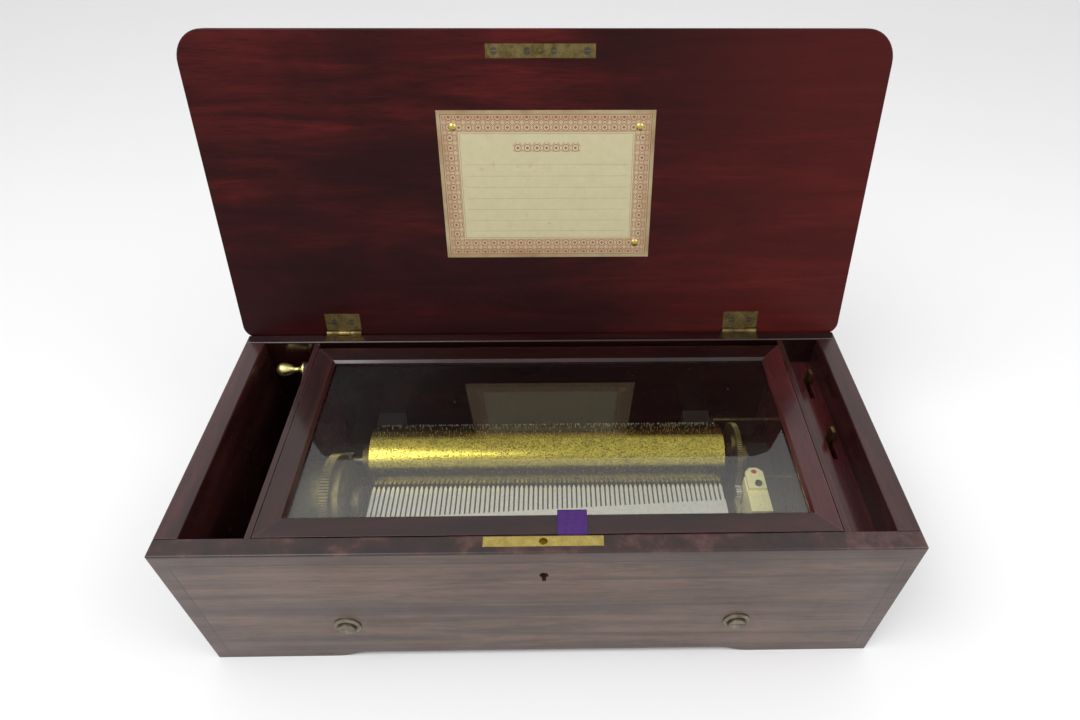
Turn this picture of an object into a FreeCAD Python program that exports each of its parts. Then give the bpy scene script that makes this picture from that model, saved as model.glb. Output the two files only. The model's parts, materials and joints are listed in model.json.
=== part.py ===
# Lever-wound cylinder music box, lid open: case, glass lid, lock, spring drive, comb movement and governor.
# Millimetres. X runs along the case, Y to the back and Z up. The origin is under the middle of the case.
import FreeCAD
import Part
import math
import os

# Case boards
front_wall = 14.0
back_wall = 10.0
side_wall = 16.0
bottom_board = 10.0
partition_wall = 4.0
board_edge_radius = 1.2
base_arch_rise = 6.0
base_arch_run = 28.0
base_foot_length = 90.0

# Wells at the two ends of the case
lever_well = 42.0
control_well = 30.0
control_board_drop = 26.0
control_board_thickness = 6.0

# Room round the movement
front_space = 39.0
rear_space = 87.0
wheel_headroom = 0.4
under_cylinder = 4.5
part_gap = 1.0

# Bedplate and the bolts that hang it in the case
bedplate_lift = 32.0
bedplate_thickness = 10.0
bedplate_margin = 1.0
bedplate_front_margin = 10.0
bedplate_back_margin = 18.0
lug_width = 24.0
bolt_spread = 282.0
bolt_radius = 3.0
bolt_grip = 16.0
bolt_head_radius = 6.0
bolt_head_height = 2.6
washer_radius = 9.7
washer_height = 2.2
washer_dish = 1.0

# Lid
lid_thickness = 14.0
lid_side_overhang = 4.2
lid_front_overhang = 5.0
lid_back_overhang = 5.0
lid_gap = 0.5
lid_open_angle = 105.0
lid_front_corner = 22.0
lid_back_corner = 10.0
lid_edge_radius = 7.0
lid_arris = 1.0

# Butt hinges
hinge_spread = 338.0
hinge_width = 29.0
hinge_setback = 1.5
leaf_thickness = 1.5
lid_leaf_length = 16.0
case_leaf_length = 8.5
knuckle_radius = 2.6
knuckle_gap = 0.3
hinge_pin_radius = 1.2

# Lock and strike plate
lock_offset = 2.0
lock_inset = 5.1
lock_plate_length = 78.0
lock_plate_width = 7.8
lock_plate_thickness = 2.0
lock_case_length = 50.0
lock_case_depth = 7.0
lock_case_height = 38.0
keyhole_drop = 26.5
keyhole_radius = 3.1
keyhole_slot_width = 2.8
keyhole_slot_length = 7.5
key_chamber_radius = 5.0
strike_hole_radius = 2.7
strike_hole_depth = 8.0
strike_pin_radius = 1.5
strike_pin_length = 6.4
strike_eye_radius = 0.8
strike_plate_width = 9.0
strike_screw_spread = 66.0
strike_screw_inner_spread = 19.0
lock_bolt_length = 14.0
lock_bolt_height = 3.0
lock_bolt_thickness = 3.0
lock_bolt_drop = 4.2
lock_bolt_travel = 4.2
lock_nose_radius = 0.6
lock_gap = 0.3

# Tune card
card_length = 162.0
card_height = 110.0
card_thickness = 0.4
card_offset = 5.5
card_above_hinge = 66.0
card_pin_inset = 11.5
card_pin_radius = 3.0
card_pin_dome = 1.2
card_pin_shank = 5.0
card_pin_shank_radius = 0.7

# Glass lid
glass_end_gap = 0.6
glass_front_gap = 1.2
glass_back_gap = 6.5
rail_width = 17.0
rail_height = 12.0
rail_drop = 1.5
rail_bevel = 2.0
rebate_width = 5.0
rebate_height = 8.0
pane_thickness = 2.0
pane_gap = 0.3
pivot_inset = 6.0
pivot_radius = 1.5
pivot_seat = 8.0
pivot_reach = 3.0
ledge_depth = 5.0
ledge_height = 8.0
ledge_gap = 0.3
ribbon_width = 20.0
ribbon_offset = 21.0
ribbon_thickness = 0.6
ribbon_reach = 20.0
ribbon_fall = 9.0

# Cylinder
cylinder_radius = 27.5
cylinder_shell = 2.0
cylinder_margin = 2.2
cylinder_cap = 4.0
pin_height = 1.0
pin_seat = 0.6
pin_radius = 0.25
pins_per_tooth = 2
tune_count = 8
tune_step = 0.46
arbor_radius = 3.0
arbor_end = 4.0
running_clearance = 0.05

# Comb
comb_teeth = 74
comb_pitch = 3.7
comb_slot = 1.2
comb_thickness = 2.5
bass_tooth = 31.0
treble_tooth = 16.0
tooth_tip_width = 0.9
tooth_tip_length = 3.0
comb_plate = 12.2
comb_rise = 1.5
comb_clearance = 0.3
comb_base_margin = 2.0
comb_base_bar = 10.0
comb_foot = 26.0
comb_feet = 4
comb_screw_count = 9
comb_screw_radius = 1.8
comb_screw_head = 3.6
comb_screw_head_height = 2.2
comb_screw_length = 9.0

# Gear teeth
pressure_angle = math.radians(25.0)
addendum = 0.8
dedendum = 1.05
tooth_fill = 0.84

# Uprights on the bedplate
upright_thickness = 5.0
upright_margin = 9.0
upright_web_height = 16.0
foot_thickness = 5.0
foot_length = 14.0
foot_width = 22.0
bearing_setback = 4.0
screw_radius = 1.5
screw_head_radius = 2.6
screw_head_height = 1.8
screw_slot_width = 0.7
screw_slot_depth = 0.9
screw_grip = 6.0

# Spring barrel
drive_module = 0.75
barrel_teeth = 100
cylinder_pinion_teeth = 16
barrel_wheel_width = 7.0
barrel_side_gap = 4.0
barrel_rim = 4.5
barrel_wall = 2.0
barrel_left_length = 18.0
barrel_right_length = 3.0
barrel_cover_thickness = 3.0
barrel_cover_lip = 1.5
spring_thickness = 0.6
spring_gap = 0.9
spring_inner_radius = 10.0
spring_turns = 12
barrel_arbor_radius = 4.0

# Winding work in the left well
ratchet_radius = 13.0
ratchet_depth = 2.0
ratchet_teeth = 24
ratchet_width = 3.0
lever_back_gap = 7.0
lever_rest_angle = 16.0
lever_thickness = 4.0
lever_hub_radius = 9.0
lever_hub_cap = 4.0
lever_tip_radius = 6.0
lever_root_width = 12.6
lever_end_width = 8.4
click_width = 3.0
click_pivot_distance = 21.0
click_pivot_angle = -30.0
click_tip_angle = 5.0
click_boss_radius = 4.0
click_gap = 0.3
click_pin_radius = 1.8

# Knob on the winding lever: distances from the lever, and radii
knob_flange_radius = 6.4
knob_flange_thickness = 1.2
knob_flare_length = 3.2
knob_flare_radius = 3.7
knob_neck_start = 6.0
knob_neck_end = 8.0
knob_neck_radius = 2.2
knob_shoulder = 11.5
knob_shoulder_radius = 3.8
knob_bulb_start = 17.0
knob_bulb_middle = 19.8
knob_bulb_radius = 5.6
knob_crown = 22.4
knob_crown_radius = 4.1
knob_length = 24.0

# Great wheel and governor
train_module = 0.6
great_wheel_teeth = 92
governor_pinion_teeth = 16
worm_wheel_teeth = 20
great_wheel_gap = 10.0
great_wheel_width = 4.0
governor_angle = 10.0
governor_gap = 1.5
governor_width = 16.0
governor_end_space = 26.5
cheek_thickness = 2.5
cheek_reach = 5.0
worm_radius = 2.2
worm_turns = 6
worm_root_width = 0.96
worm_tip_width = 0.38
worm_tip_radius = 2.63
worm_wheel_width = 2.0
worm_core_radius = 1.5
endless_pivot_radius = 0.8
endless_pivot_length = 2.5
governor_arbor_radius = 1.2
governor_post_depth = 20.0
governor_bar = 4.0
governor_headroom = 1.5
cock_thickness = 3.0
cock_overhang = 4.0
cock_margin = 1.0
cock_screw_offset = 1.0
endstone_radius = 2.2
endstone_height = 1.2
endstone_seat = 0.8
fly_radius = 8.0
fly_height = 10.0
fly_thickness = 0.6
fly_hub_radius = 2.0
fly_angle = 45.0

# Tune snail on the great wheel, and the stud of the cylinder that rides it
snail_distance = 16.0
snail_radius = 8.0
snail_base = 1.2
snail_stud_radius = 1.5
snail_follower_distance = 6.0
snail_follower_radius = 1.0
snail_follower_angle = -65.0
snail_gap = 0.5

# Control levers
start_lever_y = 8.0
change_lever_y = 75.0
control_inset = 9.0
control_thickness = 2.5
control_bar_width = 6.0
control_boss_radius = 5.0
control_shaft_radius = 2.0
control_pivot_drop = 45.0
control_travel = 18.0
control_head_width = 9.0
control_head_height = 12.0
control_shoulder_height = 5.0
control_slot_gap = 0.8
stop_finger_gap = 1.0
stop_finger_rise = 8.0
stop_finger_width = 2.5
change_finger_gap = 2.0
change_finger_rise = 9.0

# Wood screws
wood_screw_head = 2.5
wood_screw_radius = 1.3
wood_screw_length = 8.0

# Lengths along X, from the left end of the case
cylinder_length = comb_teeth * comb_pitch + cylinder_margin
barrel_length = barrel_left_length + barrel_wheel_width + barrel_right_length + barrel_cover_thickness
barrel_bay = bedplate_margin + 2 * upright_thickness + 2 * barrel_side_gap + barrel_length + bearing_setback
governor_bay = great_wheel_gap + great_wheel_width + governor_gap + governor_width + governor_end_space
case_width = (2 * side_wall + lever_well + 2 * partition_wall + barrel_bay
              + cylinder_length + governor_bay + control_well)
x_left = -case_width / 2
x_right = case_width / 2
x_lever_well = x_left + side_wall
x_left_partition = x_lever_well + lever_well
x_bay_left = x_left_partition + partition_wall
x_bridge = x_bay_left + bedplate_margin
x_barrel = x_bridge + upright_thickness + barrel_side_gap
x_barrel_wheel = x_barrel + barrel_left_length
x_barrel_cover = x_barrel_wheel + barrel_wheel_width + barrel_right_length
x_left_bearing = x_barrel_cover + barrel_cover_thickness + barrel_side_gap
x_cylinder_left = x_bay_left + barrel_bay
x_cylinder_right = x_cylinder_left + cylinder_length
x_great_wheel = x_cylinder_right + great_wheel_gap
x_governor = x_great_wheel + great_wheel_width + governor_gap
x_governor_end = x_governor + governor_width
x_worm = x_governor + governor_width / 2
x_stop_finger = x_worm - stop_finger_width / 2
x_right_bearing = x_stop_finger - part_gap - upright_thickness
x_bay_right = x_cylinder_right + governor_bay
x_control_well = x_bay_right + partition_wall
x_control_end = x_control_well + control_well
x_control_lever = x_control_end - control_inset
x_ratchet = x_left_partition - part_gap - ratchet_width
x_lever = x_ratchet - part_gap - lever_thickness
comb_left = x_cylinder_left + cylinder_margin / 2
comb_right = comb_left + comb_teeth * comb_pitch

# Depths along Y, from the front
case_depth = (front_wall + front_space + comb_plate + bass_tooth + comb_clearance + pin_height
              + cylinder_radius + rear_space + back_wall)
y_front = -case_depth / 2
y_back = case_depth / 2
y_inner_front = y_front + front_wall
y_inner_back = y_back - back_wall
y_comb_front = y_inner_front + front_space
y_comb_tip = y_comb_front + comb_plate + bass_tooth
y_axis = y_comb_tip + comb_clearance + pin_height + cylinder_radius

# Heights along Z
barrel_tip_radius = drive_module * (barrel_teeth / 2 + addendum)
drum_radius = drive_module * (barrel_teeth / 2 - dedendum) - barrel_rim
z_bedplate = bottom_board + bedplate_lift
z_bed = z_bedplate + bedplate_thickness
z_bolt = z_bedplate + bedplate_thickness / 2
z_foot = z_bed + foot_thickness
z_axis = z_bed + under_cylinder + pin_height + cylinder_radius
z_rail = z_axis + barrel_tip_radius + wheel_headroom
z_rail_top = z_rail + rail_height
case_height = z_rail_top + rail_drop
z_control_board = case_height - control_board_drop
z_control_pivot = z_control_board - control_pivot_drop
z_comb = z_axis + comb_rise

# Gear centres
y_barrel = y_axis - drive_module * (barrel_teeth + cylinder_pinion_teeth) / 2
train_distance = train_module * (great_wheel_teeth + governor_pinion_teeth) / 2
y_governor = y_axis - train_distance * math.cos(math.radians(governor_angle))
z_governor = z_axis - train_distance * math.sin(math.radians(governor_angle))
worm_wheel_radius = train_module * worm_wheel_teeth / 2
worm_wheel_tip = worm_wheel_radius + addendum * train_module
worm_pitch = math.pi * train_module
y_worm = y_governor + worm_wheel_radius + worm_radius
y_post = y_governor - worm_wheel_tip - governor_headroom
z_cock = z_governor + worm_wheel_tip + governor_headroom + governor_bar
z_fly_top = z_governor - worm_wheel_tip - part_gap

# Hinge line of the lid, pivot line of the glass lid, lock and tune snail
y_hinge = y_back + hinge_setback
z_hinge = case_height + lid_gap / 2
z_lid = case_height + lid_gap
y_rail_front = y_inner_front + glass_front_gap
y_rail_back = y_inner_back - glass_back_gap
x_rail_left = x_bay_left + glass_end_gap
x_rail_right = x_bay_right - glass_end_gap
y_pivot = y_rail_back - pivot_inset
z_pivot = z_rail + rail_height / 2
y_lock = y_inner_front - lock_inset
z_lock_bolt = case_height - lock_bolt_drop
z_keyhole = case_height - keyhole_drop
x_lock_nose = lock_offset + strike_hole_radius + lock_gap
x_lock_bolt = x_lock_nose + lock_bolt_travel + lock_gap
snail_height = snail_base + tune_step * (tune_count - 1)
x_snail = x_great_wheel - running_clearance
z_snail = z_axis + snail_distance
lever_length = (y_inner_back - lever_back_gap - knob_flange_radius - y_barrel) / math.cos(
    math.radians(lever_rest_angle))


def vec(x, y, z):
    return FreeCAD.Vector(x, y, z)


def box(x0, x1, y0, y1, z0, z1):
    return Part.makeBox(x1 - x0, y1 - y0, z1 - z0, vec(x0, y0, z0))


def rod_x(x0, x1, y, z, radius):
    return Part.makeCylinder(radius, x1 - x0, vec(x0, y, z), vec(1, 0, 0))


def rod_y(y0, y1, x, z, radius):
    return Part.makeCylinder(radius, y1 - y0, vec(x, y0, z), vec(0, 1, 0))


def rod_z(z0, z1, x, y, radius):
    return Part.makeCylinder(radius, z1 - z0, vec(x, y, z0), vec(0, 0, 1))


def prism(points, travel):
    """A straight prism on a closed outline of points."""
    wire = Part.makePolygon(points + points[:1])
    return Part.Face(wire).extrude(travel)


def plate_yz(outline, x0, x1):
    """A plate between two X planes on an outline of (y, z) points."""
    return prism([vec(x0, y, z) for y, z in outline], vec(x1 - x0, 0, 0))


def plate_xy(outline, z0, z1):
    """A plate between two heights on an outline of (x, y) points."""
    return prism([vec(x, y, z0) for x, y in outline], vec(0, 0, z1 - z0))


def turned(profile, origin, axis, across):
    """A solid of revolution from (distance along the axis, radius) points."""
    points = [origin + axis * along + across * radius for along, radius in profile]
    face = Part.Face(Part.makePolygon(points + points[:1]))
    return face.revolve(origin, axis, 360)


def fuse(shapes):
    return shapes[0].multiFuse(shapes[1:]).removeSplitter()


def cut(shape, tools):
    """Takes each of the tools out of a piece."""
    for tool in tools:
        shape = shape.cut(tool)
    return shape


def soften(shape, radius, wanted):
    """Rounds the edges whose middle point passes the test."""
    edges = [edge for edge in shape.Edges if wanted(edge.CenterOfMass)]
    return shape.makeFillet(radius, edges)


def near(a, b):
    return abs(a - b) < 0.001


def half_chord(radius, distance):
    """Half the width of a circle at a distance from its centre."""
    return math.sqrt(max(0.0, radius ** 2 - distance ** 2))


def polar(y, z, radius, angle):
    """The (y, z) point at a radius and an angle from Y towards Z."""
    return y + radius * math.cos(angle), z + radius * math.sin(angle)


def involute(angle):
    return math.tan(angle) - angle


def gear(teeth, module, x0, x1, y, z, phase):
    """A spur gear about X. Phase is the angle from Y towards Z of the middle of one tooth."""
    pitch_radius = module * teeth / 2
    base_radius = pitch_radius * math.cos(pressure_angle)
    half_tooth = tooth_fill * math.pi / (2 * teeth)
    flank = []
    for radius in (pitch_radius - dedendum * module, pitch_radius, pitch_radius + addendum * module):
        angle = math.acos(min(1.0, base_radius / radius))
        flank.append((radius, half_tooth + involute(pressure_angle) - involute(angle)))
    outline = []
    for tooth in range(teeth):
        middle = phase + 2 * math.pi * tooth / teeth
        outline += [polar(y, z, radius, middle - spread) for radius, spread in flank]
        outline += [polar(y, z, radius, middle + spread) for radius, spread in reversed(flank)]
    return plate_yz(outline, x0, x1)


def screw_slot(head, along, across, reach, depth):
    """The bar that a screwdriver slot takes out of a screw's head, from the top of the head down."""
    third = along.cross(across)
    corner = head - across * reach - third * (screw_slot_width / 2)
    end = corner + across * (2 * reach)
    side = third * screw_slot_width
    return prism([corner, end, end + side, corner + side], along * depth)


def slotted_screw(seat, along, across, shank, length, head_radius, head_height):
    """A cheese-head screw. Its head sits on the seat and stands against the direction of the shank."""
    head = Part.makeCylinder(head_radius, head_height, seat, along * -1)
    solid = fuse([Part.makeCylinder(shank, length, seat, along), head])
    top = seat - along * head_height
    return solid.cut(screw_slot(top, along, across, head_radius, screw_slot_depth))


def wood_screw(head, along, across):
    """A countersunk wood screw, flush at the point given."""
    sink = wood_screw_head - wood_screw_radius
    profile = [(0, 0), (0, wood_screw_head), (sink, wood_screw_radius),
               (wood_screw_length - wood_screw_radius, wood_screw_radius), (wood_screw_length, 0)]
    solid = turned(profile, head, along, across)
    return solid.cut(screw_slot(head, along, across, wood_screw_head, screw_slot_depth / 2))


# Case

def base_arch(y0, y1):
    """The shallow cut-out between the feet of a long board."""
    start = x_left + base_foot_length
    stop = x_right - base_foot_length
    middle = base_arch_run / 2
    rise = base_arch_rise
    left = Part.BezierCurve()
    left.setPoles([vec(start, y0, 0), vec(start + middle, y0, 0), vec(start + middle, y0, rise),
                   vec(start + base_arch_run, y0, rise)])
    right = Part.BezierCurve()
    right.setPoles([vec(stop - base_arch_run, y0, rise), vec(stop - middle, y0, rise),
                    vec(stop - middle, y0, 0), vec(stop, y0, 0)])
    top = Part.makeLine(vec(start + base_arch_run, y0, rise), vec(stop - base_arch_run, y0, rise))
    floor = Part.makeLine(vec(stop, y0, 0), vec(start, y0, 0))
    wire = Part.Wire([left.toShape(), top, right.toShape(), floor])
    return Part.Face(wire).extrude(vec(0, y1 - y0, 0))


def bolt_places():
    """X of each bedplate bolt."""
    return [-bolt_spread / 2, bolt_spread / 2]


def long_board(y0, y1, y_outer):
    """The front or back board, with its corners and rim rounded and the base arch cut."""
    board = box(x_left, x_right, y0, y1, 0, case_height)
    board = soften(board, board_edge_radius, lambda p: near(p.z, case_height) and near(p.x, 0))
    board = soften(board, board_edge_radius, lambda p: near(p.y, y_outer) and near(abs(p.x), x_right))
    board = board.cut(base_arch(y0, y1))
    return cut(board, [rod_y(y0, y1, x, z_bolt, bolt_radius) for x in bolt_places()])


def keyhole(y0, y1):
    half = keyhole_slot_width / 2
    hole = rod_y(y0, y1, lock_offset, z_keyhole, keyhole_radius)
    slot = box(lock_offset - half, lock_offset + half, y0, y1, z_keyhole - keyhole_slot_length, z_keyhole)
    return hole.fuse(slot)


def lock_outline():
    """The plate let into the rim and the lock case below it."""
    z_plate = case_height - lock_plate_thickness
    plate = box(lock_offset - lock_plate_length / 2, lock_offset + lock_plate_length / 2,
                y_lock - lock_plate_width / 2, y_lock + lock_plate_width / 2, z_plate, case_height)
    case = box(lock_offset - lock_case_length / 2, lock_offset + lock_case_length / 2,
               y_lock - lock_case_depth / 2, y_lock + lock_case_depth / 2,
               case_height - lock_case_height, z_plate)
    return fuse([plate, case])


def case_front():
    """The front board with its lock mortise, keyhole and the ledge under the glass lid."""
    board = long_board(y_front, y_inner_front, y_front)
    z_ledge = z_rail - ledge_gap
    ledge = box(x_rail_left, x_rail_right, y_inner_front, y_inner_front + ledge_depth,
                z_ledge - ledge_height, z_ledge)
    return cut(board.fuse(ledge), [lock_outline(), keyhole(y_front, y_lock)])


def hinge_notches():
    """Room for the knuckles, in both the back board and the lid."""
    return [rod_x(x0 - knuckle_gap, x1 + knuckle_gap, y_hinge, z_hinge, knuckle_radius + knuckle_gap)
            for x0, x1 in hinge_spans()]


def case_back(screws):
    board = long_board(y_inner_back, y_back, y_back)
    leaves = hinge_leaf_blanks(case_leaf_length, case_height - leaf_thickness)
    return cut(board, leaves + hinge_notches() + screws)


def case_side(x0, x1):
    side = box(x0, x1, y_inner_front, y_inner_back, 0, case_height)
    y_middle = (y_inner_front + y_inner_back) / 2
    return soften(side, board_edge_radius, lambda p: near(p.z, case_height) and near(p.y, y_middle))


def case_bottom():
    return box(x_lever_well, x_control_end, y_inner_front, y_inner_back, 0, bottom_board)


def partition(x0, holes):
    """A thin partition with its round holes, given as (y, z, radius)."""
    x1 = x0 + partition_wall
    wall = box(x0, x1, y_inner_front, y_inner_back, bottom_board, z_rail_top)
    return cut(wall, [rod_x(x0, x1, y, z, radius) for y, z, radius in holes])


def left_partition():
    click_y, click_z = click_pivot()
    return partition(x_left_partition, [
        (y_barrel, z_axis, barrel_arbor_radius + part_gap),
        (click_y, click_z, click_pin_radius + running_clearance),
        (y_pivot, z_pivot, pivot_radius + running_clearance)])


def right_partition():
    shaft = control_shaft_radius + running_clearance
    return partition(x_bay_right, [
        (start_lever_y, z_control_pivot, shaft),
        (change_lever_y, z_control_pivot, shaft),
        (y_pivot, z_pivot, pivot_radius + running_clearance)])


def control_board():
    """The shelf of the right well, with a slot for the swing of each lever."""
    z0 = z_control_board - control_board_thickness
    board = box(x_control_well, x_control_end, y_inner_front, y_inner_back, z0, z_control_board)
    half = control_thickness / 2 + control_slot_gap
    travel = math.radians(control_travel)
    behind = control_bar_width / 2 + control_slot_gap
    swing = control_pivot_drop * math.tan(travel)
    ahead = swing + control_head_width / 2 / math.cos(travel) + control_slot_gap
    slots = [box(x_control_lever - half, x_control_lever + half, y - ahead, y + behind,
                 z0, z_control_board) for y in (start_lever_y, change_lever_y)]
    return cut(board, slots)


def bedplate_bolts():
    """Slotted bolts through the front and back boards into the lugs of the bedplate."""
    bolts = []
    for x in bolt_places():
        for y, inward, board in ((y_front, 1, front_wall), (y_back, -1, back_wall)):
            seat = vec(x, y - inward * washer_dish, z_bolt)
            length = washer_dish + board + bolt_grip
            bolts.append(slotted_screw(seat, vec(0, inward, 0), vec(1, 0, 0), bolt_radius, length,
                                       bolt_head_radius, bolt_head_height))
    return bolts


def bolt_washers():
    """Dished cup washers under the bolt heads."""
    rim = (washer_radius + bolt_head_radius) / 2
    profile = [(0, bolt_radius), (0, washer_radius), (washer_dish, washer_radius), (washer_height, rim),
               (washer_dish, bolt_head_radius), (washer_dish, bolt_radius)]
    return [turned(profile, vec(x, y, z_bolt), vec(0, outward, 0), vec(1, 0, 0))
            for x in bolt_places() for y, outward in ((y_front, -1), (y_back, 1))]


# Hinges and lid, drawn shut and then turned open

def hinge_spans():
    """The X range of each hinge."""
    return [(x - hinge_width / 2, x + hinge_width / 2) for x in (-hinge_spread / 2, hinge_spread / 2)]


def hinge_leaf_blanks(length, z0):
    """Flat leaves of both hinges, running forward from the hinge line."""
    return [box(x0, x1, y_back - length, y_hinge, z0, z0 + leaf_thickness) for x0, x1 in hinge_spans()]


def knuckles(spans, extra):
    """The knuckle barrels on some stretches of a hinge, larger all round by the extra."""
    return [rod_x(x0 - extra, x1 + extra, y_hinge, z_hinge, knuckle_radius + extra) for x0, x1 in spans]


def hinge_leaf(blank, x0, x1, on_lid, screws):
    """One leaf. The case carries the two outer knuckles and the lid the middle one."""
    third = hinge_width / 3
    outer = [(x0, x0 + third - knuckle_gap), (x1 - third + knuckle_gap, x1)]
    middle = [(x0 + third, x1 - third)]
    mine = middle if on_lid else outer
    others = outer if on_lid else middle
    bore = hinge_pin_radius + running_clearance if on_lid else hinge_pin_radius
    leaf = fuse([blank] + knuckles(mine, 0))
    return cut(leaf, knuckles(others, knuckle_gap) + [rod_x(x0, x1, y_hinge, z_hinge, bore)] + screws)


def hinge_leaves(length, z0, on_lid, screws):
    blanks = hinge_leaf_blanks(length, z0)
    return [hinge_leaf(blank, x0, x1, on_lid, screws) for blank, (x0, x1) in zip(blanks, hinge_spans())]


def hinge_pins():
    return [rod_x(x0, x1, y_hinge, z_hinge, hinge_pin_radius) for x0, x1 in hinge_spans()]


def hinge_screws(length, z_face, along):
    """Two wood screws in each leaf, halfway between its edge and the knuckle."""
    y = (y_back - length + y_hinge - knuckle_radius - knuckle_gap) / 2
    return [wood_screw(vec(x, y, z_face), along, vec(1, 0, 0)) for x0, x1 in hinge_spans()
            for x in (x0 + hinge_width / 4, x1 - hinge_width / 4)]


def strike_screws():
    """Four wood screws along the strike plate, two each side of its pin."""
    outer = strike_screw_spread / 2
    inner = strike_screw_inner_spread / 2
    return [wood_screw(vec(lock_offset + x, y_lock, z_lid), vec(0, 0, 1), vec(1, 0, 0))
            for x in (-outer, -inner, inner, outer)]


def strike_plate(screws):
    """The plate let into the lid, with the eyed pin that drops into the lock."""
    plate = box(lock_offset - lock_plate_length / 2, lock_offset + lock_plate_length / 2,
                y_lock - strike_plate_width / 2, y_lock + strike_plate_width / 2,
                z_lid, z_lid + leaf_thickness)
    plate = cut(plate, screws)
    bevel = strike_pin_radius / 2
    profile = [(0, 0), (0, strike_pin_radius), (strike_pin_length - bevel, strike_pin_radius),
               (strike_pin_length, bevel), (strike_pin_length, 0)]
    pin = turned(profile, vec(lock_offset, y_lock, z_lid), vec(0, 0, -1), vec(1, 0, 0))
    eye = rod_x(lock_offset - strike_pin_radius, lock_offset + strike_pin_radius, y_lock, z_lock_bolt,
                strike_eye_radius)
    return plate.fuse(pin.cut(eye))


def card_corners():
    """Low and high corners of the tune card on the shut lid."""
    y_high = y_hinge - card_above_hinge
    return (card_offset - card_length / 2, y_high - card_height), (card_offset + card_length / 2, y_high)


def card_pin(x, y):
    """A domed pin through the card into the lid."""
    face = vec(x, y, z_lid - card_thickness)
    ball = (card_pin_radius ** 2 + card_pin_dome ** 2) / (2 * card_pin_dome)
    dome = Part.makeSphere(ball, face + vec(0, 0, ball - card_pin_dome))
    dome = dome.common(Part.makeCylinder(card_pin_radius, card_pin_dome, face, vec(0, 0, -1)))
    return fuse([dome, Part.makeCylinder(card_pin_shank_radius, card_pin_shank, face)])


def card_pins():
    """Three pins hold the card, at both far corners and the right near one."""
    (x0, y0), (x1, y1) = card_corners()
    inset = card_pin_inset
    places = [(x0 + inset, y0 + inset), (x1 - inset, y0 + inset), (x1 - inset, y1 - inset)]
    return [card_pin(x, y) for x, y in places]


def tune_card(pins):
    (x0, y0), (x1, y1) = card_corners()
    return cut(box(x0, x1, y0, y1, z_lid - card_thickness, z_lid), pins)


def lid_panel(fittings):
    """The lid board, rounded outside, with its let-in fittings and the room of its hinges cut out."""
    x1 = x_right + lid_side_overhang
    y0 = y_front - lid_front_overhang
    y1 = y_back + lid_back_overhang
    z1 = z_lid + lid_thickness
    room = knuckle_radius + knuckle_gap
    notches = [box(left - knuckle_gap, right + knuckle_gap, y_hinge - room, y1, z_lid, z_hinge + room)
               for left, right in hinge_spans()]
    panel = box(-x1, x1, y0, y1, z_lid, z1)
    panel = soften(panel, lid_front_corner, lambda p: near(p.y, y0) and near(abs(p.x), x1))
    panel = soften(panel, lid_back_corner, lambda p: near(p.y, y1) and near(abs(p.x), x1))
    panel = soften(panel, lid_edge_radius, lambda p: near(p.z, z1))
    panel = soften(panel, lid_arris, lambda p: near(p.z, z_lid))
    return cut(panel, notches + fittings)


def opened(shape):
    """Turns a piece of the shut lid to where the open lid rests."""
    raised = shape.copy()
    raised.rotate(vec(0, y_hinge, z_hinge), vec(1, 0, 0), -lid_open_angle)
    return raised


# Lock

def bolt_channel():
    """The slot that the bolt slides in and the bore for its nose."""
    y_half = lock_bolt_thickness / 2 + running_clearance
    z_half = lock_bolt_height / 2 + running_clearance
    slot = box(x_lock_bolt - lock_bolt_travel - lock_gap, x_lock_bolt + lock_bolt_length + lock_gap,
               y_lock - y_half, y_lock + y_half, z_lock_bolt - z_half, z_lock_bolt + z_half)
    bore = lock_nose_radius + running_clearance
    return slot.fuse(rod_x(lock_offset, x_lock_bolt, y_lock, z_lock_bolt, bore))


def lock_body():
    """The lock's plate and case, with the strike hole, the bolt's slot and the key's chamber."""
    z_hole = case_height - strike_hole_depth
    strike_hole = rod_z(z_hole, case_height, lock_offset, y_lock, strike_hole_radius)
    chamber = rod_y(y_lock - lock_case_depth / 2, y_lock, lock_offset, z_keyhole, key_chamber_radius)
    return cut(lock_outline(), [strike_hole, bolt_channel(), chamber])


def lock_bolt():
    """A bar with a round nose that passes through the eye of the strike pin."""
    bar = box(x_lock_bolt, x_lock_bolt + lock_bolt_length,
              y_lock - lock_bolt_thickness / 2, y_lock + lock_bolt_thickness / 2,
              z_lock_bolt - lock_bolt_height / 2, z_lock_bolt + lock_bolt_height / 2)
    return bar.fuse(rod_x(x_lock_nose, x_lock_bolt, y_lock, z_lock_bolt, lock_nose_radius))


# Glass lid

def glass_pivots():
    """Pins at the back ends of the side rails, standing into the partitions."""
    return [rod_x(x_bay_left - pivot_reach, x_rail_left + pivot_seat, y_pivot, z_pivot, pivot_radius),
            rod_x(x_rail_right - pivot_seat, x_bay_right + pivot_reach, y_pivot, z_pivot, pivot_radius)]


def glass_frame():
    """The whole frame before it is parted at the mitres."""
    x0 = x_rail_left + rail_width
    x1 = x_rail_right - rail_width
    y0 = y_rail_front + rail_width
    y1 = y_rail_back - rail_width
    frame = box(x_rail_left, x_rail_right, y_rail_front, y_rail_back, z_rail, z_rail_top)
    frame = frame.cut(box(x0, x1, y0, y1, z_rail, z_rail_top))
    frame = frame.cut(box(x0 - rebate_width, x1 + rebate_width, y0 - rebate_width, y1 + rebate_width,
                          z_rail, z_rail + rebate_height))
    edges = [edge for edge in frame.Edges if near(edge.CenterOfMass.z, z_rail_top)
             and x_rail_left < edge.CenterOfMass.x < x_rail_right
             and y_rail_front < edge.CenterOfMass.y < y_rail_back]
    return cut(frame.makeChamfer(rail_bevel, edges), glass_pivots())


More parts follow.
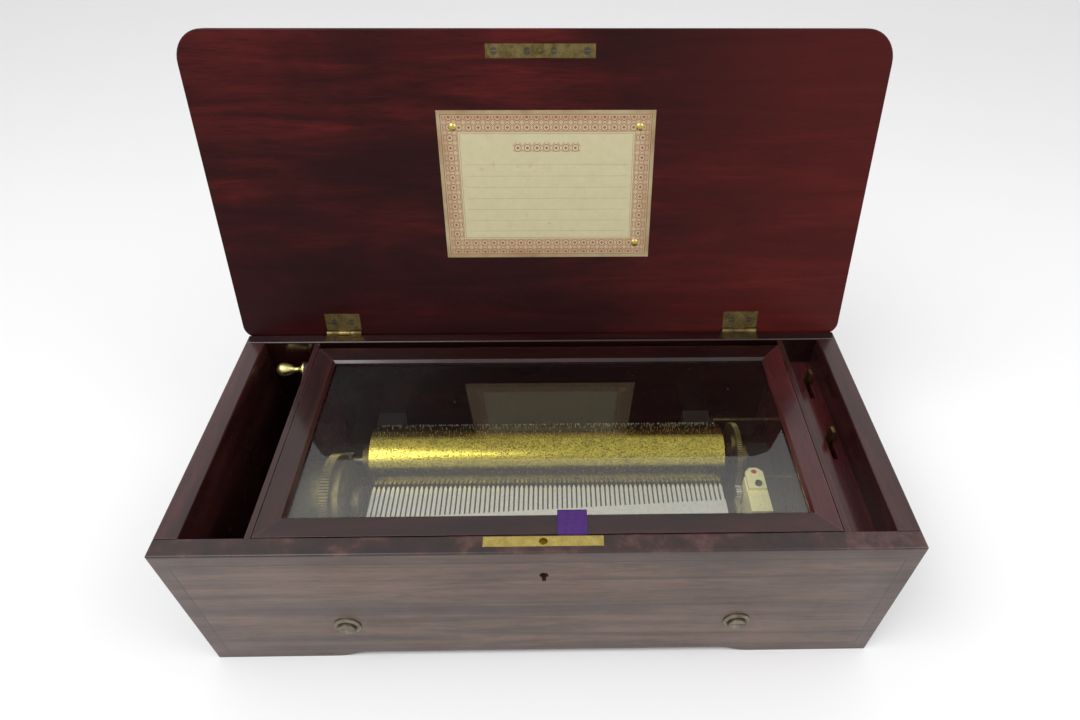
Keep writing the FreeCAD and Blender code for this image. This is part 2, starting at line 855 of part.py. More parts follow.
def glass_rails():
    """The four mitred rails by name."""
    frame = glass_frame()
    x0, x1, y0, y1 = x_rail_left, x_rail_right, y_rail_front, y_rail_back
    w = rail_width
    outlines = {
        "front": [(x0, y0), (x1, y0), (x1 - w, y0 + w), (x0 + w, y0 + w)],
        "back": [(x1, y1), (x0, y1), (x0 + w, y1 - w), (x1 - w, y1 - w)],
        "left": [(x0, y1), (x0, y0), (x0 + w, y0 + w), (x0 + w, y1 - w)],
        "right": [(x1, y0), (x1, y1), (x1 - w, y1 - w), (x1 - w, y0 + w)],
    }
    return {side: frame.common(plate_xy(outline, z_rail, z_rail_top)) for side, outline in outlines.items()}


def glass_pane():
    inset = rail_width - rebate_width + pane_gap
    z_top = z_rail + rebate_height
    return box(x_rail_left + inset, x_rail_right - inset, y_rail_front + inset, y_rail_back - inset,
               z_top - pane_thickness, z_top)


def ribbon_tab():
    """A strip of ribbon up the front of the front rail and back over its top."""
    y0 = y_rail_front - ribbon_thickness
    y1 = y0 + ribbon_reach
    z0 = z_rail_top - ribbon_fall
    z1 = z_rail_top + ribbon_thickness
    outline = [(y0, z0), (y_rail_front, z0), (y_rail_front, z_rail_top),
               (y1, z_rail_top), (y1, z1), (y0, z1)]
    return plate_yz(outline, ribbon_offset - ribbon_width / 2, ribbon_offset + ribbon_width / 2)


# Bedplate and uprights

def barrel_window():
    """The opening in the bedplate that the barrel dips into."""
    reach = half_chord(barrel_tip_radius, z_axis - z_bed) + part_gap
    return box(x_barrel - part_gap, x_left_bearing - part_gap, y_barrel - reach, y_barrel + reach,
               z_bedplate, z_bed)


def bedplate(screws, bolts):
    """A flat plate with lugs to the boards and a window for the spring barrel."""
    y1 = y_axis + cylinder_radius + bedplate_back_margin
    plate = box(x_bridge, x_bay_right - bedplate_margin, y_comb_front - bedplate_front_margin, y1,
                z_bedplate, z_bed)
    lugs = [box(x - lug_width / 2, x + lug_width / 2, y_inner_front, y_inner_back, z_bedplate, z_bed)
            for x in bolt_places()]
    return cut(fuse([plate] + lugs), [barrel_window()] + screws + bolts)


def upright_plan():
    """For each upright: its X, the (y, bore) of its heads, the Y of its foot and the foot's side."""
    arbor = (y_axis, arbor_radius + running_clearance)
    barrel = (y_barrel, barrel_arbor_radius + running_clearance)
    behind_barrel = y_barrel + half_chord(barrel_tip_radius, z_axis - z_foot) + part_gap
    return {
        "left_bearing": (x_left_bearing, [barrel, arbor], behind_barrel, -1),
        "barrel_bridge": (x_bridge, [barrel], behind_barrel, 1),
        "right_bearing": (x_right_bearing, [arbor], y_axis - upright_margin, 1),
    }


def foot_start(x0, side):
    """The left edge of an upright's foot."""
    return x0 + upright_thickness if side > 0 else x0 - foot_length


def upright(x0, heads, foot_y, side, screws):
    """A bearing plate with bored heads, joined by a web, on a foot that is screwed down."""
    x1 = x0 + upright_thickness
    foot_x = foot_start(x0, side)
    shapes = [box(foot_x, foot_x + foot_length, foot_y, foot_y + foot_width, z_bed, z_foot)]
    edges = [foot_y, foot_y + foot_width]
    for y, bore in heads:
        half = bore + upright_margin
        edges += [y - half, y + half]
        shapes += [rod_x(x0, x1, y, z_axis, half), box(x0, x1, y - half, y + half, z_bed, z_axis)]
    shapes.append(box(x0, x1, min(edges), max(edges), z_bed, z_bed + upright_web_height))
    bores = [rod_x(x0, x1, y, z_axis, bore) for y, bore in heads]
    return cut(fuse(shapes), bores + screws)


def movement_screw_places():
    """Seats of the screws of the uprights, the governor's foot and its cock."""
    places = [(x_worm + cock_screw_offset, (y_post + y_governor) / 2, z_cock + cock_thickness)]
    y_foot = y_post + screw_head_radius + part_gap
    for x in (x_governor + governor_width / 4, x_governor_end - governor_width / 4):
        places.append((x, y_foot, z_foot))
    for x0, heads, foot_y, side in upright_plan().values():
        x = foot_start(x0, side) + foot_length / 2
        places += [(x, foot_y + foot_width / 4, z_foot), (x, foot_y + foot_width * 3 / 4, z_foot)]
    return places


def movement_screws():
    return [slotted_screw(vec(*place), vec(0, 0, -1), vec(1, 0, 0), screw_radius, screw_grip,
                          screw_head_radius, screw_head_height) for place in movement_screw_places()]


# Comb

def tooth_root(x):
    """Y of the tooth roots, from the long bass teeth on the left to the short treble ones."""
    share = (x - comb_left) / (comb_right - comb_left)
    return y_comb_tip - bass_tooth + (bass_tooth - treble_tooth) * share


def comb_screws():
    """A row of slotted screws along the middle of the comb's plate."""
    y = y_comb_front + comb_plate / 2
    step = (comb_right - comb_left) / comb_screw_count
    return [slotted_screw(vec(comb_left + step * (k + 0.5), y, z_comb), vec(0, 0, -1), vec(1, 0, 0),
                          comb_screw_radius, comb_screw_length, comb_screw_head, comb_screw_head_height)
            for k in range(comb_screw_count)]


def comb(screws):
    """The tuned steel comb: one plate with pointed teeth cut into it."""
    shoulder = y_comb_tip - tooth_tip_length
    outline = [(comb_left, y_comb_front), (comb_left, tooth_root(comb_left))]
    for tooth in range(comb_teeth):
        left = comb_left + tooth * comb_pitch + comb_slot / 2
        right = left + comb_pitch - comb_slot
        tip = (left + right - tooth_tip_width) / 2
        outline += [(left, tooth_root(left)), (left, shoulder), (tip, y_comb_tip),
                    (tip + tooth_tip_width, y_comb_tip), (right, shoulder), (right, tooth_root(right))]
    outline += [(comb_right, tooth_root(comb_right)), (comb_right, y_comb_front)]
    return cut(plate_xy(outline, z_comb - comb_thickness, z_comb), screws)


def comb_base(screws):
    """The brass bar under the comb, on its feet."""
    z_top = z_comb - comb_thickness
    outline = [(comb_left, y_comb_front), (comb_right, y_comb_front),
               (comb_right, tooth_root(comb_right) - comb_base_margin),
               (comb_left, tooth_root(comb_left) - comb_base_margin)]
    base = plate_xy(outline, z_bed, z_top)
    step = (comb_right - comb_left - comb_foot) / (comb_feet - 1)
    gaps = [box(comb_left + step * k + comb_foot, comb_left + step * (k + 1), y_comb_front, y_comb_tip,
                z_bed, z_top - comb_base_bar) for k in range(comb_feet - 1)]
    return cut(base, gaps + screws)


# Cylinder and tune change

def cylinder_arbor():
    """The steel arbor with the pinion cut on its left end."""
    x_end = x_right_bearing + upright_thickness + arbor_end
    shaft = rod_x(x_barrel_wheel - part_gap, x_end, y_axis, z_axis, arbor_radius)
    phase = math.pi + math.pi / cylinder_pinion_teeth
    pinion = gear(cylinder_pinion_teeth, drive_module, x_barrel_wheel, x_barrel_wheel + barrel_wheel_width,
                  y_axis, z_axis, phase)
    return fuse([shaft, pinion])


def great_wheel():
    """The wheel that drives the governor, with the stud of the tune snail on its inner face."""
    x1 = x_great_wheel + great_wheel_width
    phase = math.pi + math.radians(governor_angle)
    wheel = gear(great_wheel_teeth, train_module, x_great_wheel, x1, y_axis, z_axis, phase)
    wheel = wheel.cut(rod_x(x_great_wheel, x1, y_axis, z_axis, arbor_radius))
    stud = rod_x(x_snail - snail_base, x_great_wheel, y_axis, z_snail, snail_stud_radius)
    return fuse([wheel, stud])


def snail_step(k):
    """One step of the snail, as a slice of a disc; a later tune has a lower step."""
    turn = 2 * math.pi / tune_count
    start = math.radians(snail_follower_angle) - turn * (k + 0.5)
    corner = vec(x_snail, y_axis, z_snail)
    first, middle, last = [vec(x_snail, *polar(y_axis, z_snail, snail_radius, start + turn * share))
                           for share in (0, 0.5, 1)]
    wire = Part.Wire([Part.makeLine(corner, first), Part.Arc(first, middle, last).toShape(),
                      Part.makeLine(last, corner)])
    return Part.Face(wire).extrude(vec(tune_step * k - snail_height, 0, 0))


def tune_snail():
    """A cam of one step for each tune, highest under the follower."""
    bore = rod_x(x_snail - snail_height, x_snail, y_axis, z_snail, snail_stud_radius + running_clearance)
    return fuse([snail_step(k) for k in range(tune_count)]).cut(bore)


def cylinder_sleeve():
    """The brass tube that the pins are driven into."""
    tube = rod_x(x_cylinder_left, x_cylinder_right, y_axis, z_axis, cylinder_radius)
    inner_radius = cylinder_radius - cylinder_shell
    return tube.cut(rod_x(x_cylinder_left, x_cylinder_right, y_axis, z_axis, inner_radius))


def cylinder_end_caps():
    """Discs that slide on the arbor; the right one has the stud that rides the snail."""
    caps = []
    for x0 in (x_cylinder_left, x_cylinder_right - cylinder_cap):
        disc = rod_x(x0, x0 + cylinder_cap, y_axis, z_axis, cylinder_radius - cylinder_shell)
        caps.append(disc.cut(rod_x(x0, x0 + cylinder_cap, y_axis, z_axis, arbor_radius + running_clearance)))
    y, z = polar(y_axis, z_snail, snail_follower_distance, math.radians(snail_follower_angle))
    stud = rod_x(x_cylinder_right - cylinder_cap, x_snail - snail_height - snail_gap, y, z,
                 snail_follower_radius)
    caps[1] = fuse([caps[1], stud])
    return caps


def cylinder_pins():
    """Music pins: some on every track, each turned on from the last by the golden angle."""
    golden = math.pi * (3 - math.sqrt(5))
    pins = []
    for k in range(comb_teeth * pins_per_tooth):
        x = comb_left + comb_pitch * (k // pins_per_tooth + 0.5)
        out = vec(0, math.cos(golden * k), math.sin(golden * k))
        start = vec(x, y_axis, z_axis) + out * (cylinder_radius - pin_seat)
        pins.append(Part.makeCylinder(pin_radius, pin_seat + pin_height, start, out))
    return pins


# Spring barrel and winding work

def on_barrel(x0, x1, radius):
    """A rod round the barrel's axis."""
    return rod_x(x0, x1, y_barrel, z_axis, radius)


def barrel_bore(x0, x1):
    return on_barrel(x0, x1, barrel_arbor_radius + running_clearance)


def spring_barrel():
    """The drum, closed on the left, with a bore that runs on its arbor."""
    drum = on_barrel(x_barrel, x_barrel_cover, drum_radius)
    hollow = on_barrel(x_barrel + barrel_wall, x_barrel_cover, drum_radius - barrel_wall)
    return cut(drum, [hollow, barrel_bore(x_barrel, x_barrel_cover)])


def barrel_wheel():
    """The toothed ring round the drum."""
    x1 = x_barrel_wheel + barrel_wheel_width
    ring = gear(barrel_teeth, drive_module, x_barrel_wheel, x1, y_barrel, z_axis, 0)
    return ring.cut(on_barrel(x_barrel_wheel, x1, drum_radius))


def barrel_cover():
    x1 = x_barrel_cover + barrel_cover_thickness
    return on_barrel(x_barrel_cover, x1, drum_radius + barrel_cover_lip).cut(barrel_bore(x_barrel_cover, x1))


def mainspring():
    """A flat spiral of half circles whose centres change sides at each half turn."""
    x0 = x_barrel + barrel_wall + part_gap
    x1 = x_barrel_cover - part_gap
    shift = (spring_thickness + spring_gap) / 2
    sides = []
    for offset in (0, spring_thickness):
        arcs = []
        for half in range(2 * spring_turns):
            side = -1 if half % 2 else 1
            middle = y_barrel - side * shift / 2
            radius = spring_inner_radius + shift * half + offset
            arcs.append(Part.Arc(vec(x0, middle + side * radius, z_axis),
                                 vec(x0, middle, z_axis + side * radius),
                                 vec(x0, middle - side * radius, z_axis)).toShape())
        sides.append(arcs)
    inner, outer = sides
    start = Part.makeLine(inner[0].firstVertex().Point, outer[0].firstVertex().Point)
    stop = Part.makeLine(inner[-1].lastVertex().Point, outer[-1].lastVertex().Point)
    wire = Part.Wire(Part.__sortEdges__(inner + outer + [start, stop]))
    return Part.Face(wire).extrude(vec(x1 - x0, 0, 0))


def barrel_arbor():
    return on_barrel(x_lever - lever_hub_cap, x_left_bearing + upright_thickness, barrel_arbor_radius)


def ratchet_wheel():
    """A saw-toothed wheel on the arbor, beside the lever."""
    x1 = x_ratchet + ratchet_width
    outline = []
    for k in range(ratchet_teeth):
        angle = 2 * math.pi * k / ratchet_teeth
        outline.append(polar(y_barrel, z_axis, ratchet_radius, angle))
        outline.append(polar(y_barrel, z_axis, ratchet_radius - ratchet_depth, angle))
    return plate_yz(outline, x_ratchet, x1).cut(on_barrel(x_ratchet, x1, barrel_arbor_radius))


def raised_lever(shape):
    """Turns a piece of the winding lever from level to its place of rest."""
    raised = shape.copy()
    raised.rotate(vec(0, y_barrel, z_axis), vec(1, 0, 0), lever_rest_angle)
    return raised


def winding_lever():
    """A flat tapered arm with a hub on the barrel arbor and a round end under the knob."""
    x1 = x_lever + lever_thickness
    y_tip = y_barrel + lever_length
    root = lever_root_width / 2
    end = lever_end_width / 2
    outline = [(y_barrel, z_axis - root), (y_tip, z_axis - end),
               (y_tip, z_axis + end), (y_barrel, z_axis + root)]
    hub = on_barrel(x_lever - lever_hub_cap, x1, lever_hub_radius)
    tip = rod_x(x_lever, x1, y_tip, z_axis, lever_tip_radius)
    lever = fuse([plate_yz(outline, x_lever, x1), hub, tip])
    return raised_lever(lever.cut(barrel_bore(x_lever - lever_hub_cap, x1)))


def lever_knob():
    """A turned knob: flared foot, thin neck and pear-shaped bulb, pointing away from the movement."""
    origin = vec(x_lever, y_barrel + lever_length, z_axis)
    rim = origin + vec(0, 0, knob_flange_radius)
    lip = rim + vec(-knob_flange_thickness, 0, 0)
    end = origin + vec(-knob_length, 0, 0)
    swell = [(knob_flare_length, knob_flare_radius), (knob_neck_start, knob_neck_radius),
             (knob_neck_end, knob_neck_radius), (knob_shoulder, knob_shoulder_radius),
             (knob_bulb_start, knob_bulb_radius), (knob_bulb_middle, knob_bulb_radius),
             (knob_crown, knob_crown_radius)]
    curve = Part.BSplineCurve()
    curve.interpolate([lip] + [origin + vec(-along, 0, radius) for along, radius in swell] + [end])
    foot = Part.makePolygon([lip, rim, origin, end])
    face = Part.Face(Part.Wire([curve.toShape()] + foot.Edges))
    return raised_lever(face.revolve(origin, vec(1, 0, 0), 360))


def around_barrel(distance, angle):
    """A (y, z) point at a distance and an angle in degrees from the barrel arbor."""
    return polar(y_barrel, z_axis, distance, math.radians(angle))


def click_pivot():
    return around_barrel(click_pivot_distance, click_pivot_angle)


def holding_click():
    """A pawl on its own pin, with its nose just off the tips of the ratchet."""
    y, z = click_pivot()
    x1 = x_ratchet + click_width
    tip = around_barrel(ratchet_radius + click_gap, click_tip_angle)
    back = around_barrel(ratchet_radius + click_gap + click_boss_radius, click_tip_angle)
    heel = around_barrel(click_pivot_distance - click_boss_radius, click_pivot_angle)
    boss = rod_x(x_ratchet, x1, y, z, click_boss_radius)
    nose = plate_yz([heel, (y + click_boss_radius, z), back, tip], x_ratchet, x1)
    pin = rod_x(x_ratchet, x_bay_left, y, z, click_pin_radius)
    return fuse([boss, nose, pin])


# Governor

def governor_frame(screws):
    """A foot, a post, two cheeks that carry the worm wheel and a bar under the cock."""
    y0 = y_post - governor_post_depth
    y_cheek = y_governor + cheek_reach
    z_cheek = z_governor - worm_wheel_tip
    frame = fuse([
        box(x_governor, x_governor_end, y0, y_worm + cock_overhang, z_bed, z_foot),
        box(x_governor, x_governor_end, y0, y_post, z_bed, z_cock),
        box(x_governor, x_governor_end, y_post, y_cheek, z_cock - governor_bar, z_cock),
        box(x_governor, x_governor + cheek_thickness, y_post, y_cheek, z_cheek, z_cock),
        box(x_governor_end - cheek_thickness, x_governor_end, y_post, y_cheek, z_cheek, z_cock)])
    arbor = governor_arbor_radius + running_clearance
    pivot = endless_pivot_radius + running_clearance
    holes = [rod_x(x_governor, x_governor_end, y_governor, z_governor, arbor),
             rod_z(z_foot - endless_pivot_length - running_clearance, z_foot, x_worm, y_worm, pivot)]
    return cut(frame, holes + screws)


def governor_pinion():
    """The steel arbor of the governor with the pinion that the great wheel drives."""
    shaft = rod_x(x_great_wheel, x_governor_end, y_governor, z_governor, governor_arbor_radius)
    phase = math.radians(governor_angle) + math.pi / governor_pinion_teeth
    pinion = gear(governor_pinion_teeth, train_module, x_great_wheel, x_great_wheel + great_wheel_width,
                  y_governor, z_governor, phase)
    return fuse([shaft, pinion])


def worm_wheel():
    x0 = x_worm - worm_wheel_width / 2
    x1 = x_worm + worm_wheel_width / 2
    wheel = gear(worm_wheel_teeth, train_module, x0, x1, y_governor, z_governor, 0)
    return wheel.cut(rod_x(x0, x1, y_governor, z_governor, governor_arbor_radius))


def worm_thread():
    """One right-hand thread whose gap meets the tooth that points at the screw."""
    root = worm_core_radius - running_clearance
    outline = [vec(root, 0, -worm_root_width / 2), vec(worm_tip_radius, 0, -worm_tip_width / 2),
               vec(worm_tip_radius, 0, worm_tip_width / 2), vec(root, 0, worm_root_width / 2)]
    helix = Part.makeHelix(worm_pitch, worm_pitch * worm_turns, worm_core_radius)
    profile = Part.makePolygon(outline + outline[:1])
    thread = Part.Wire(helix).makePipeShell([profile], True, True)
    thread.translate(vec(x_worm, y_worm, z_governor - worm_pitch * (0.25 + worm_turns // 2)))
    return thread


def endless_screw():
    """The upright screw that the worm wheel spins, with a pivot at each end."""
    z_low = z_foot + running_clearance
    z_high = z_cock - running_clearance
    z_stone = z_cock + cock_thickness - endstone_seat - running_clearance
    core = rod_z(z_low, z_high, x_worm, y_worm, worm_core_radius)
    pivots = [rod_z(z_foot - endless_pivot_length, z_low, x_worm, y_worm, endless_pivot_radius),
              rod_z(z_high, z_stone, x_worm, y_worm, endless_pivot_radius)]
    return core.fuse(worm_thread()).multiFuse(pivots)


def fly():
    """Two thin vanes on a hub, under the worm wheel."""
    z0 = z_fly_top - fly_height
    half = fly_thickness / 2
    hub = rod_z(z0, z_fly_top, x_worm, y_worm, fly_hub_radius)
    vanes = box(x_worm - fly_radius, x_worm + fly_radius, y_worm - half, y_worm + half, z0, z_fly_top)
    vanes.rotate(vec(x_worm, y_worm, z0), vec(0, 0, 1), fly_angle)
    return fuse([hub, vanes]).cut(rod_z(z0, z_fly_top, x_worm, y_worm, worm_core_radius))


def governor_cock(screws):
    """The plate that holds the screw's top pivot, with its corners cut off at the back."""
    x0 = x_governor + cock_margin
    x1 = x_governor_end - cock_margin
    y1 = y_worm + cock_overhang
    corner = cock_overhang
    z1 = z_cock + cock_thickness
    outline = [(x0, y_post), (x1, y_post), (x1, y1 - corner), (x1 - corner, y1), (x0 + corner, y1),
               (x0, y1 - corner)]
    holes = [rod_z(z_cock, z1, x_worm, y_worm, endless_pivot_radius + running_clearance),
             rod_z(z1 - endstone_seat, z1, x_worm, y_worm, endstone_radius)]
    return cut(plate_xy(outline, z_cock, z1), holes + screws)


def endstone():
    """A round garnet set in the cock, with its upper edge bevelled."""
    z0 = z_cock + cock_thickness - endstone_seat
    z1 = z0 + endstone_height
    stone = rod_z(z0, z1, x_worm, y_worm, endstone_radius)
    edges = [edge for edge in stone.Edges if near(edge.CenterOfMass.z, z1)]
    return stone.makeChamfer(endstone_height - endstone_seat, edges)


# Control levers

def control_lever(y, x_inner, finger):
    """A flat lever up through its slot, on a rock shaft through the right partition to its finger."""
    x0 = x_control_lever - control_thickness / 2
    x1 = x_control_lever + control_thickness / 2
    half = control_bar_width / 2
    wide = control_head_width / 2
    z_shoulder = z_control_board + control_shoulder_height
    z_head = z_control_board + control_head_height
    outline = [(y - half, z_control_pivot), (y + half, z_control_pivot), (y + half, z_control_board),
               (y + wide, z_shoulder), (y + half, z_head), (y - half, z_head), (y - wide, z_shoulder),
               (y - half, z_control_board)]
    boss = rod_x(x0, x1, y, z_control_pivot, control_boss_radius)
    shaft = rod_x(x_inner, x1, y, z_control_pivot, control_shaft_radius)
    return fuse([plate_yz(outline, x0, x1), boss, shaft, finger])


def start_lever():
    """Its finger stands clear of the fly, and swings into the fly's path to stop the music."""
    y = start_lever_y
    z = z_control_pivot
    width = control_shaft_radius
    y_tip = y_worm + fly_radius + stop_finger_gap
    z_tip = z + stop_finger_rise
    outline = [(y + width, z - width), (y + width, z + width), (y_tip + width, z_tip), (y_tip, z_tip),
               (y_tip, z_tip - 2 * width), (y - width, z - width)]
    finger = plate_yz(outline, x_stop_finger, x_stop_finger + stop_finger_width)
    return control_lever(y, x_stop_finger, finger)


def change_lever():
    """Its finger reaches the path of the tune snail behind the great wheel."""
    y = change_lever_y
    z = z_control_pivot
    width = control_shaft_radius
    x0 = x_great_wheel - part_gap - control_thickness
    y_tip = y_axis + snail_distance + snail_radius + change_finger_gap
    z_tip = z + change_finger_rise
    outline = [(y, z - width), (y + width, z + width), (y_tip, z_tip + width), (y_tip, z_tip - width)]
    return control_lever(y, x0, plate_yz(outline, x0, x0 + control_thickness))


# Saving, one file for each node

def save(name, shapes):
    """Writes one node: a single solid, or a group of separate ones."""
    shape = Part.makeCompound(shapes) if isinstance(shapes, list) else shapes
    shape.exportStep(os.path.join("parts", name + ".step"))


def save_case(bolts):
    screws = hinge_screws(case_leaf_length, case_height, vec(0, 0, -1))
    save("case_front", case_front())
    save("case_back", case_back(screws))
    save("case_left_side", case_side(x_left, x_lever_well))
    save("case_right_side", case_side(x_control_end, x_right))
    save("case_bottom", case_bottom())
    save("left_partition", left_partition())
    save("right_partition", right_partition())
    save("control_board", control_board())
    save("bedplate_bolts", bolts)
    save("bolt_washers", bolt_washers())
    save("hinge_case_leaves", hinge_leaves(case_leaf_length, case_height - leaf_thickness, False, screws))
    save("hinge_pins", hinge_pins())
    save("case_screws", screws)
    save("lock_body", lock_body())
    save("lock_bolt", lock_bolt())


def save_lid():
    leaf_screws = hinge_screws(lid_leaf_length, z_lid, vec(0, 0, 1))
    plate_screws = strike_screws()
    pins = card_pins()
    plate = strike_plate(plate_screws)
    blanks = hinge_leaf_blanks(lid_leaf_length, z_lid)
    leaves = hinge_leaves(lid_leaf_length, z_lid, True, leaf_screws)
    save("lid_panel", opened(lid_panel(blanks + leaf_screws + plate_screws + pins + [plate])))
    save("hinge_lid_leaves", [opened(leaf) for leaf in leaves])
    save("lid_screws", [opened(screw) for screw in leaf_screws + plate_screws])
    save("strike_plate", opened(plate))
    save("tune_card", opened(tune_card(pins)))
    save("tune_card_pins", [opened(pin) for pin in pins])


def save_glass_lid():
    for side, rail in glass_rails().items():
        save("glass_frame_" + side + "_rail", rail)
    save("glass_pane", glass_pane())
    save("ribbon_tab", ribbon_tab())
    save("glass_lid_pivots", glass_pivots())


def save_movement(screws, bolts):
    clamps = comb_screws()
    save("bedplate", bedplate(screws, bolts))
    for name, (x0, heads, foot_y, side) in upright_plan().items():
        save(name, upright(x0, heads, foot_y, side, screws))
    save("movement_screws", screws)
    save("comb_base", comb_base(clamps))
    save("comb", comb(clamps))
    save("comb_screws", clamps)
    save("cylinder_arbor", cylinder_arbor())
    save("great_wheel", great_wheel())
    save("tune_snail", tune_snail())
    save("cylinder_sleeve", cylinder_sleeve())
    save("cylinder_end_caps", cylinder_end_caps())
    save("cylinder_pins", cylinder_pins())


def save_drive():
    save("spring_barrel", spring_barrel())
    save("barrel_wheel", barrel_wheel())
    save("barrel_cover", barrel_cover())
    save("mainspring", mainspring())
    save("barrel_arbor", barrel_arbor())
    save("ratchet_wheel", ratchet_wheel())
    save("winding_lever", winding_lever())
    save("lever_knob", lever_knob())
    save("holding_click", holding_click())


def save_governor(screws):
    save("governor_frame", governor_frame(screws))
    save("governor_pinion", governor_pinion())
    save("worm_wheel", worm_wheel())
    save("endless_screw", endless_screw())
    save("fly", fly())
    save("governor_cock", governor_cock(screws))
    save("endstone", endstone())
    save("start_lever", start_lever())
    save("change_lever", change_lever())


os.makedirs("parts", exist_ok=True)
steel_screws = movement_screws()
case_bolts = bedplate_bolts()
save_case(case_bolts)
save_lid()
save_glass_lid()
save_movement(steel_screws, case_bolts)
save_drive()
save_governor(steel_screws)
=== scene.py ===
# Looks of the lever-wound cylinder music box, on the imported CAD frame.
# Metres; X along the case, Y back, Z up.
import json
import math
import random
import bmesh
import bpy
from mathutils import Euler, Matrix, Vector

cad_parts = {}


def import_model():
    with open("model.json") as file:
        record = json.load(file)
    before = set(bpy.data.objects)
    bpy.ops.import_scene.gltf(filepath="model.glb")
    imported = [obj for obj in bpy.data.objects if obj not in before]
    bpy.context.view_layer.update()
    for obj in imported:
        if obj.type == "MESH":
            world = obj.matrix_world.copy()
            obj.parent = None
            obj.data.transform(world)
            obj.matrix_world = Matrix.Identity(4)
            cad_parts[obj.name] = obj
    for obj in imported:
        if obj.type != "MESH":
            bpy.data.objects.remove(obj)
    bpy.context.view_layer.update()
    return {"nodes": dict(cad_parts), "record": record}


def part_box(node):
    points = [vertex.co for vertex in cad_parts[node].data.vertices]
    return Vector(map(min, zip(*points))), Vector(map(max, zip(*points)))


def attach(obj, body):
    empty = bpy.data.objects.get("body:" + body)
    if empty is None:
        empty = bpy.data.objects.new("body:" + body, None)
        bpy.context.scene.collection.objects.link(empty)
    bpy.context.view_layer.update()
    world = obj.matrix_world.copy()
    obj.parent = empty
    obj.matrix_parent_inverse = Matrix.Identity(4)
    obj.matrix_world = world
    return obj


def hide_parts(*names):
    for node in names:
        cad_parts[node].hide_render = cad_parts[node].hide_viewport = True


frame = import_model()

MM = 0.001
LID_LEAN = math.radians(15.0)

# Camera, solved from the edges of the case in the photograph
CAMERA_PLACE = Vector((0.0109, -0.3642, 0.5165))
CAMERA_PITCH = math.radians(45.34)
CAMERA_YAW = math.radians(-1.3)
CAMERA_ROLL = math.radians(0.44)
CAMERA_LENS_MM = 23.47
CAMERA_SHIFT = (-0.0253, 0.0522)

# Pins of the cylinder
PIN_TRACK_PITCH = 0.46 * MM
PIN_RADIUS = 0.23 * MM
PIN_ROOT = 0.1 * MM
PIN_SIDES = 5
PIN_SEED = 11
PIN_SCATTER = 0.012
PIN_CHORDS = 560
PINS_IN_CHORD = (4, 12)
PIN_TRACK_STEP = (1, 40)

# Ribbon tab of the glass lid
RIBBON_CLEARANCE = 0.15 * MM
RIBBON_BEND = 0.9 * MM
RIBBON_BEND_STEPS = 5
RIBBON_TOP_STEPS = 12
RIBBON_LIFT = 0.25 * MM
RIBBON_RIPPLE = 0.10 * MM
RIBBON_THREADS = 26

# Inlaid lines of the front and of the lid's outside
FRONT_LINE_INSET = 11.0 * MM
LID_LINE_INSET = (16.0 * MM, 17.2 * MM)

# Printed border, chain and ruling of the tune card
CARD_PITCH = 7.2 * MM
CARD_BAND = (4.0 * MM, 14.4 * MM)
CARD_LINES = ((2.6 * MM, 3.1 * MM), (14.6 * MM, 15.0 * MM), (16.0 * MM, 16.25 * MM))
CARD_CHAIN = (26.0 * MM, 32.6 * MM)
CARD_CHAIN_HALF = 25.2 * MM
CARD_RULE_PITCH = 4.2 * MM
CARD_HEAD = 24.0 * MM

# Studio
WORLD_STRENGTH = 0.82
FLOOR_SIZE = 60.0
LIGHT_AIM = (0.0, 0.0, 0.1)


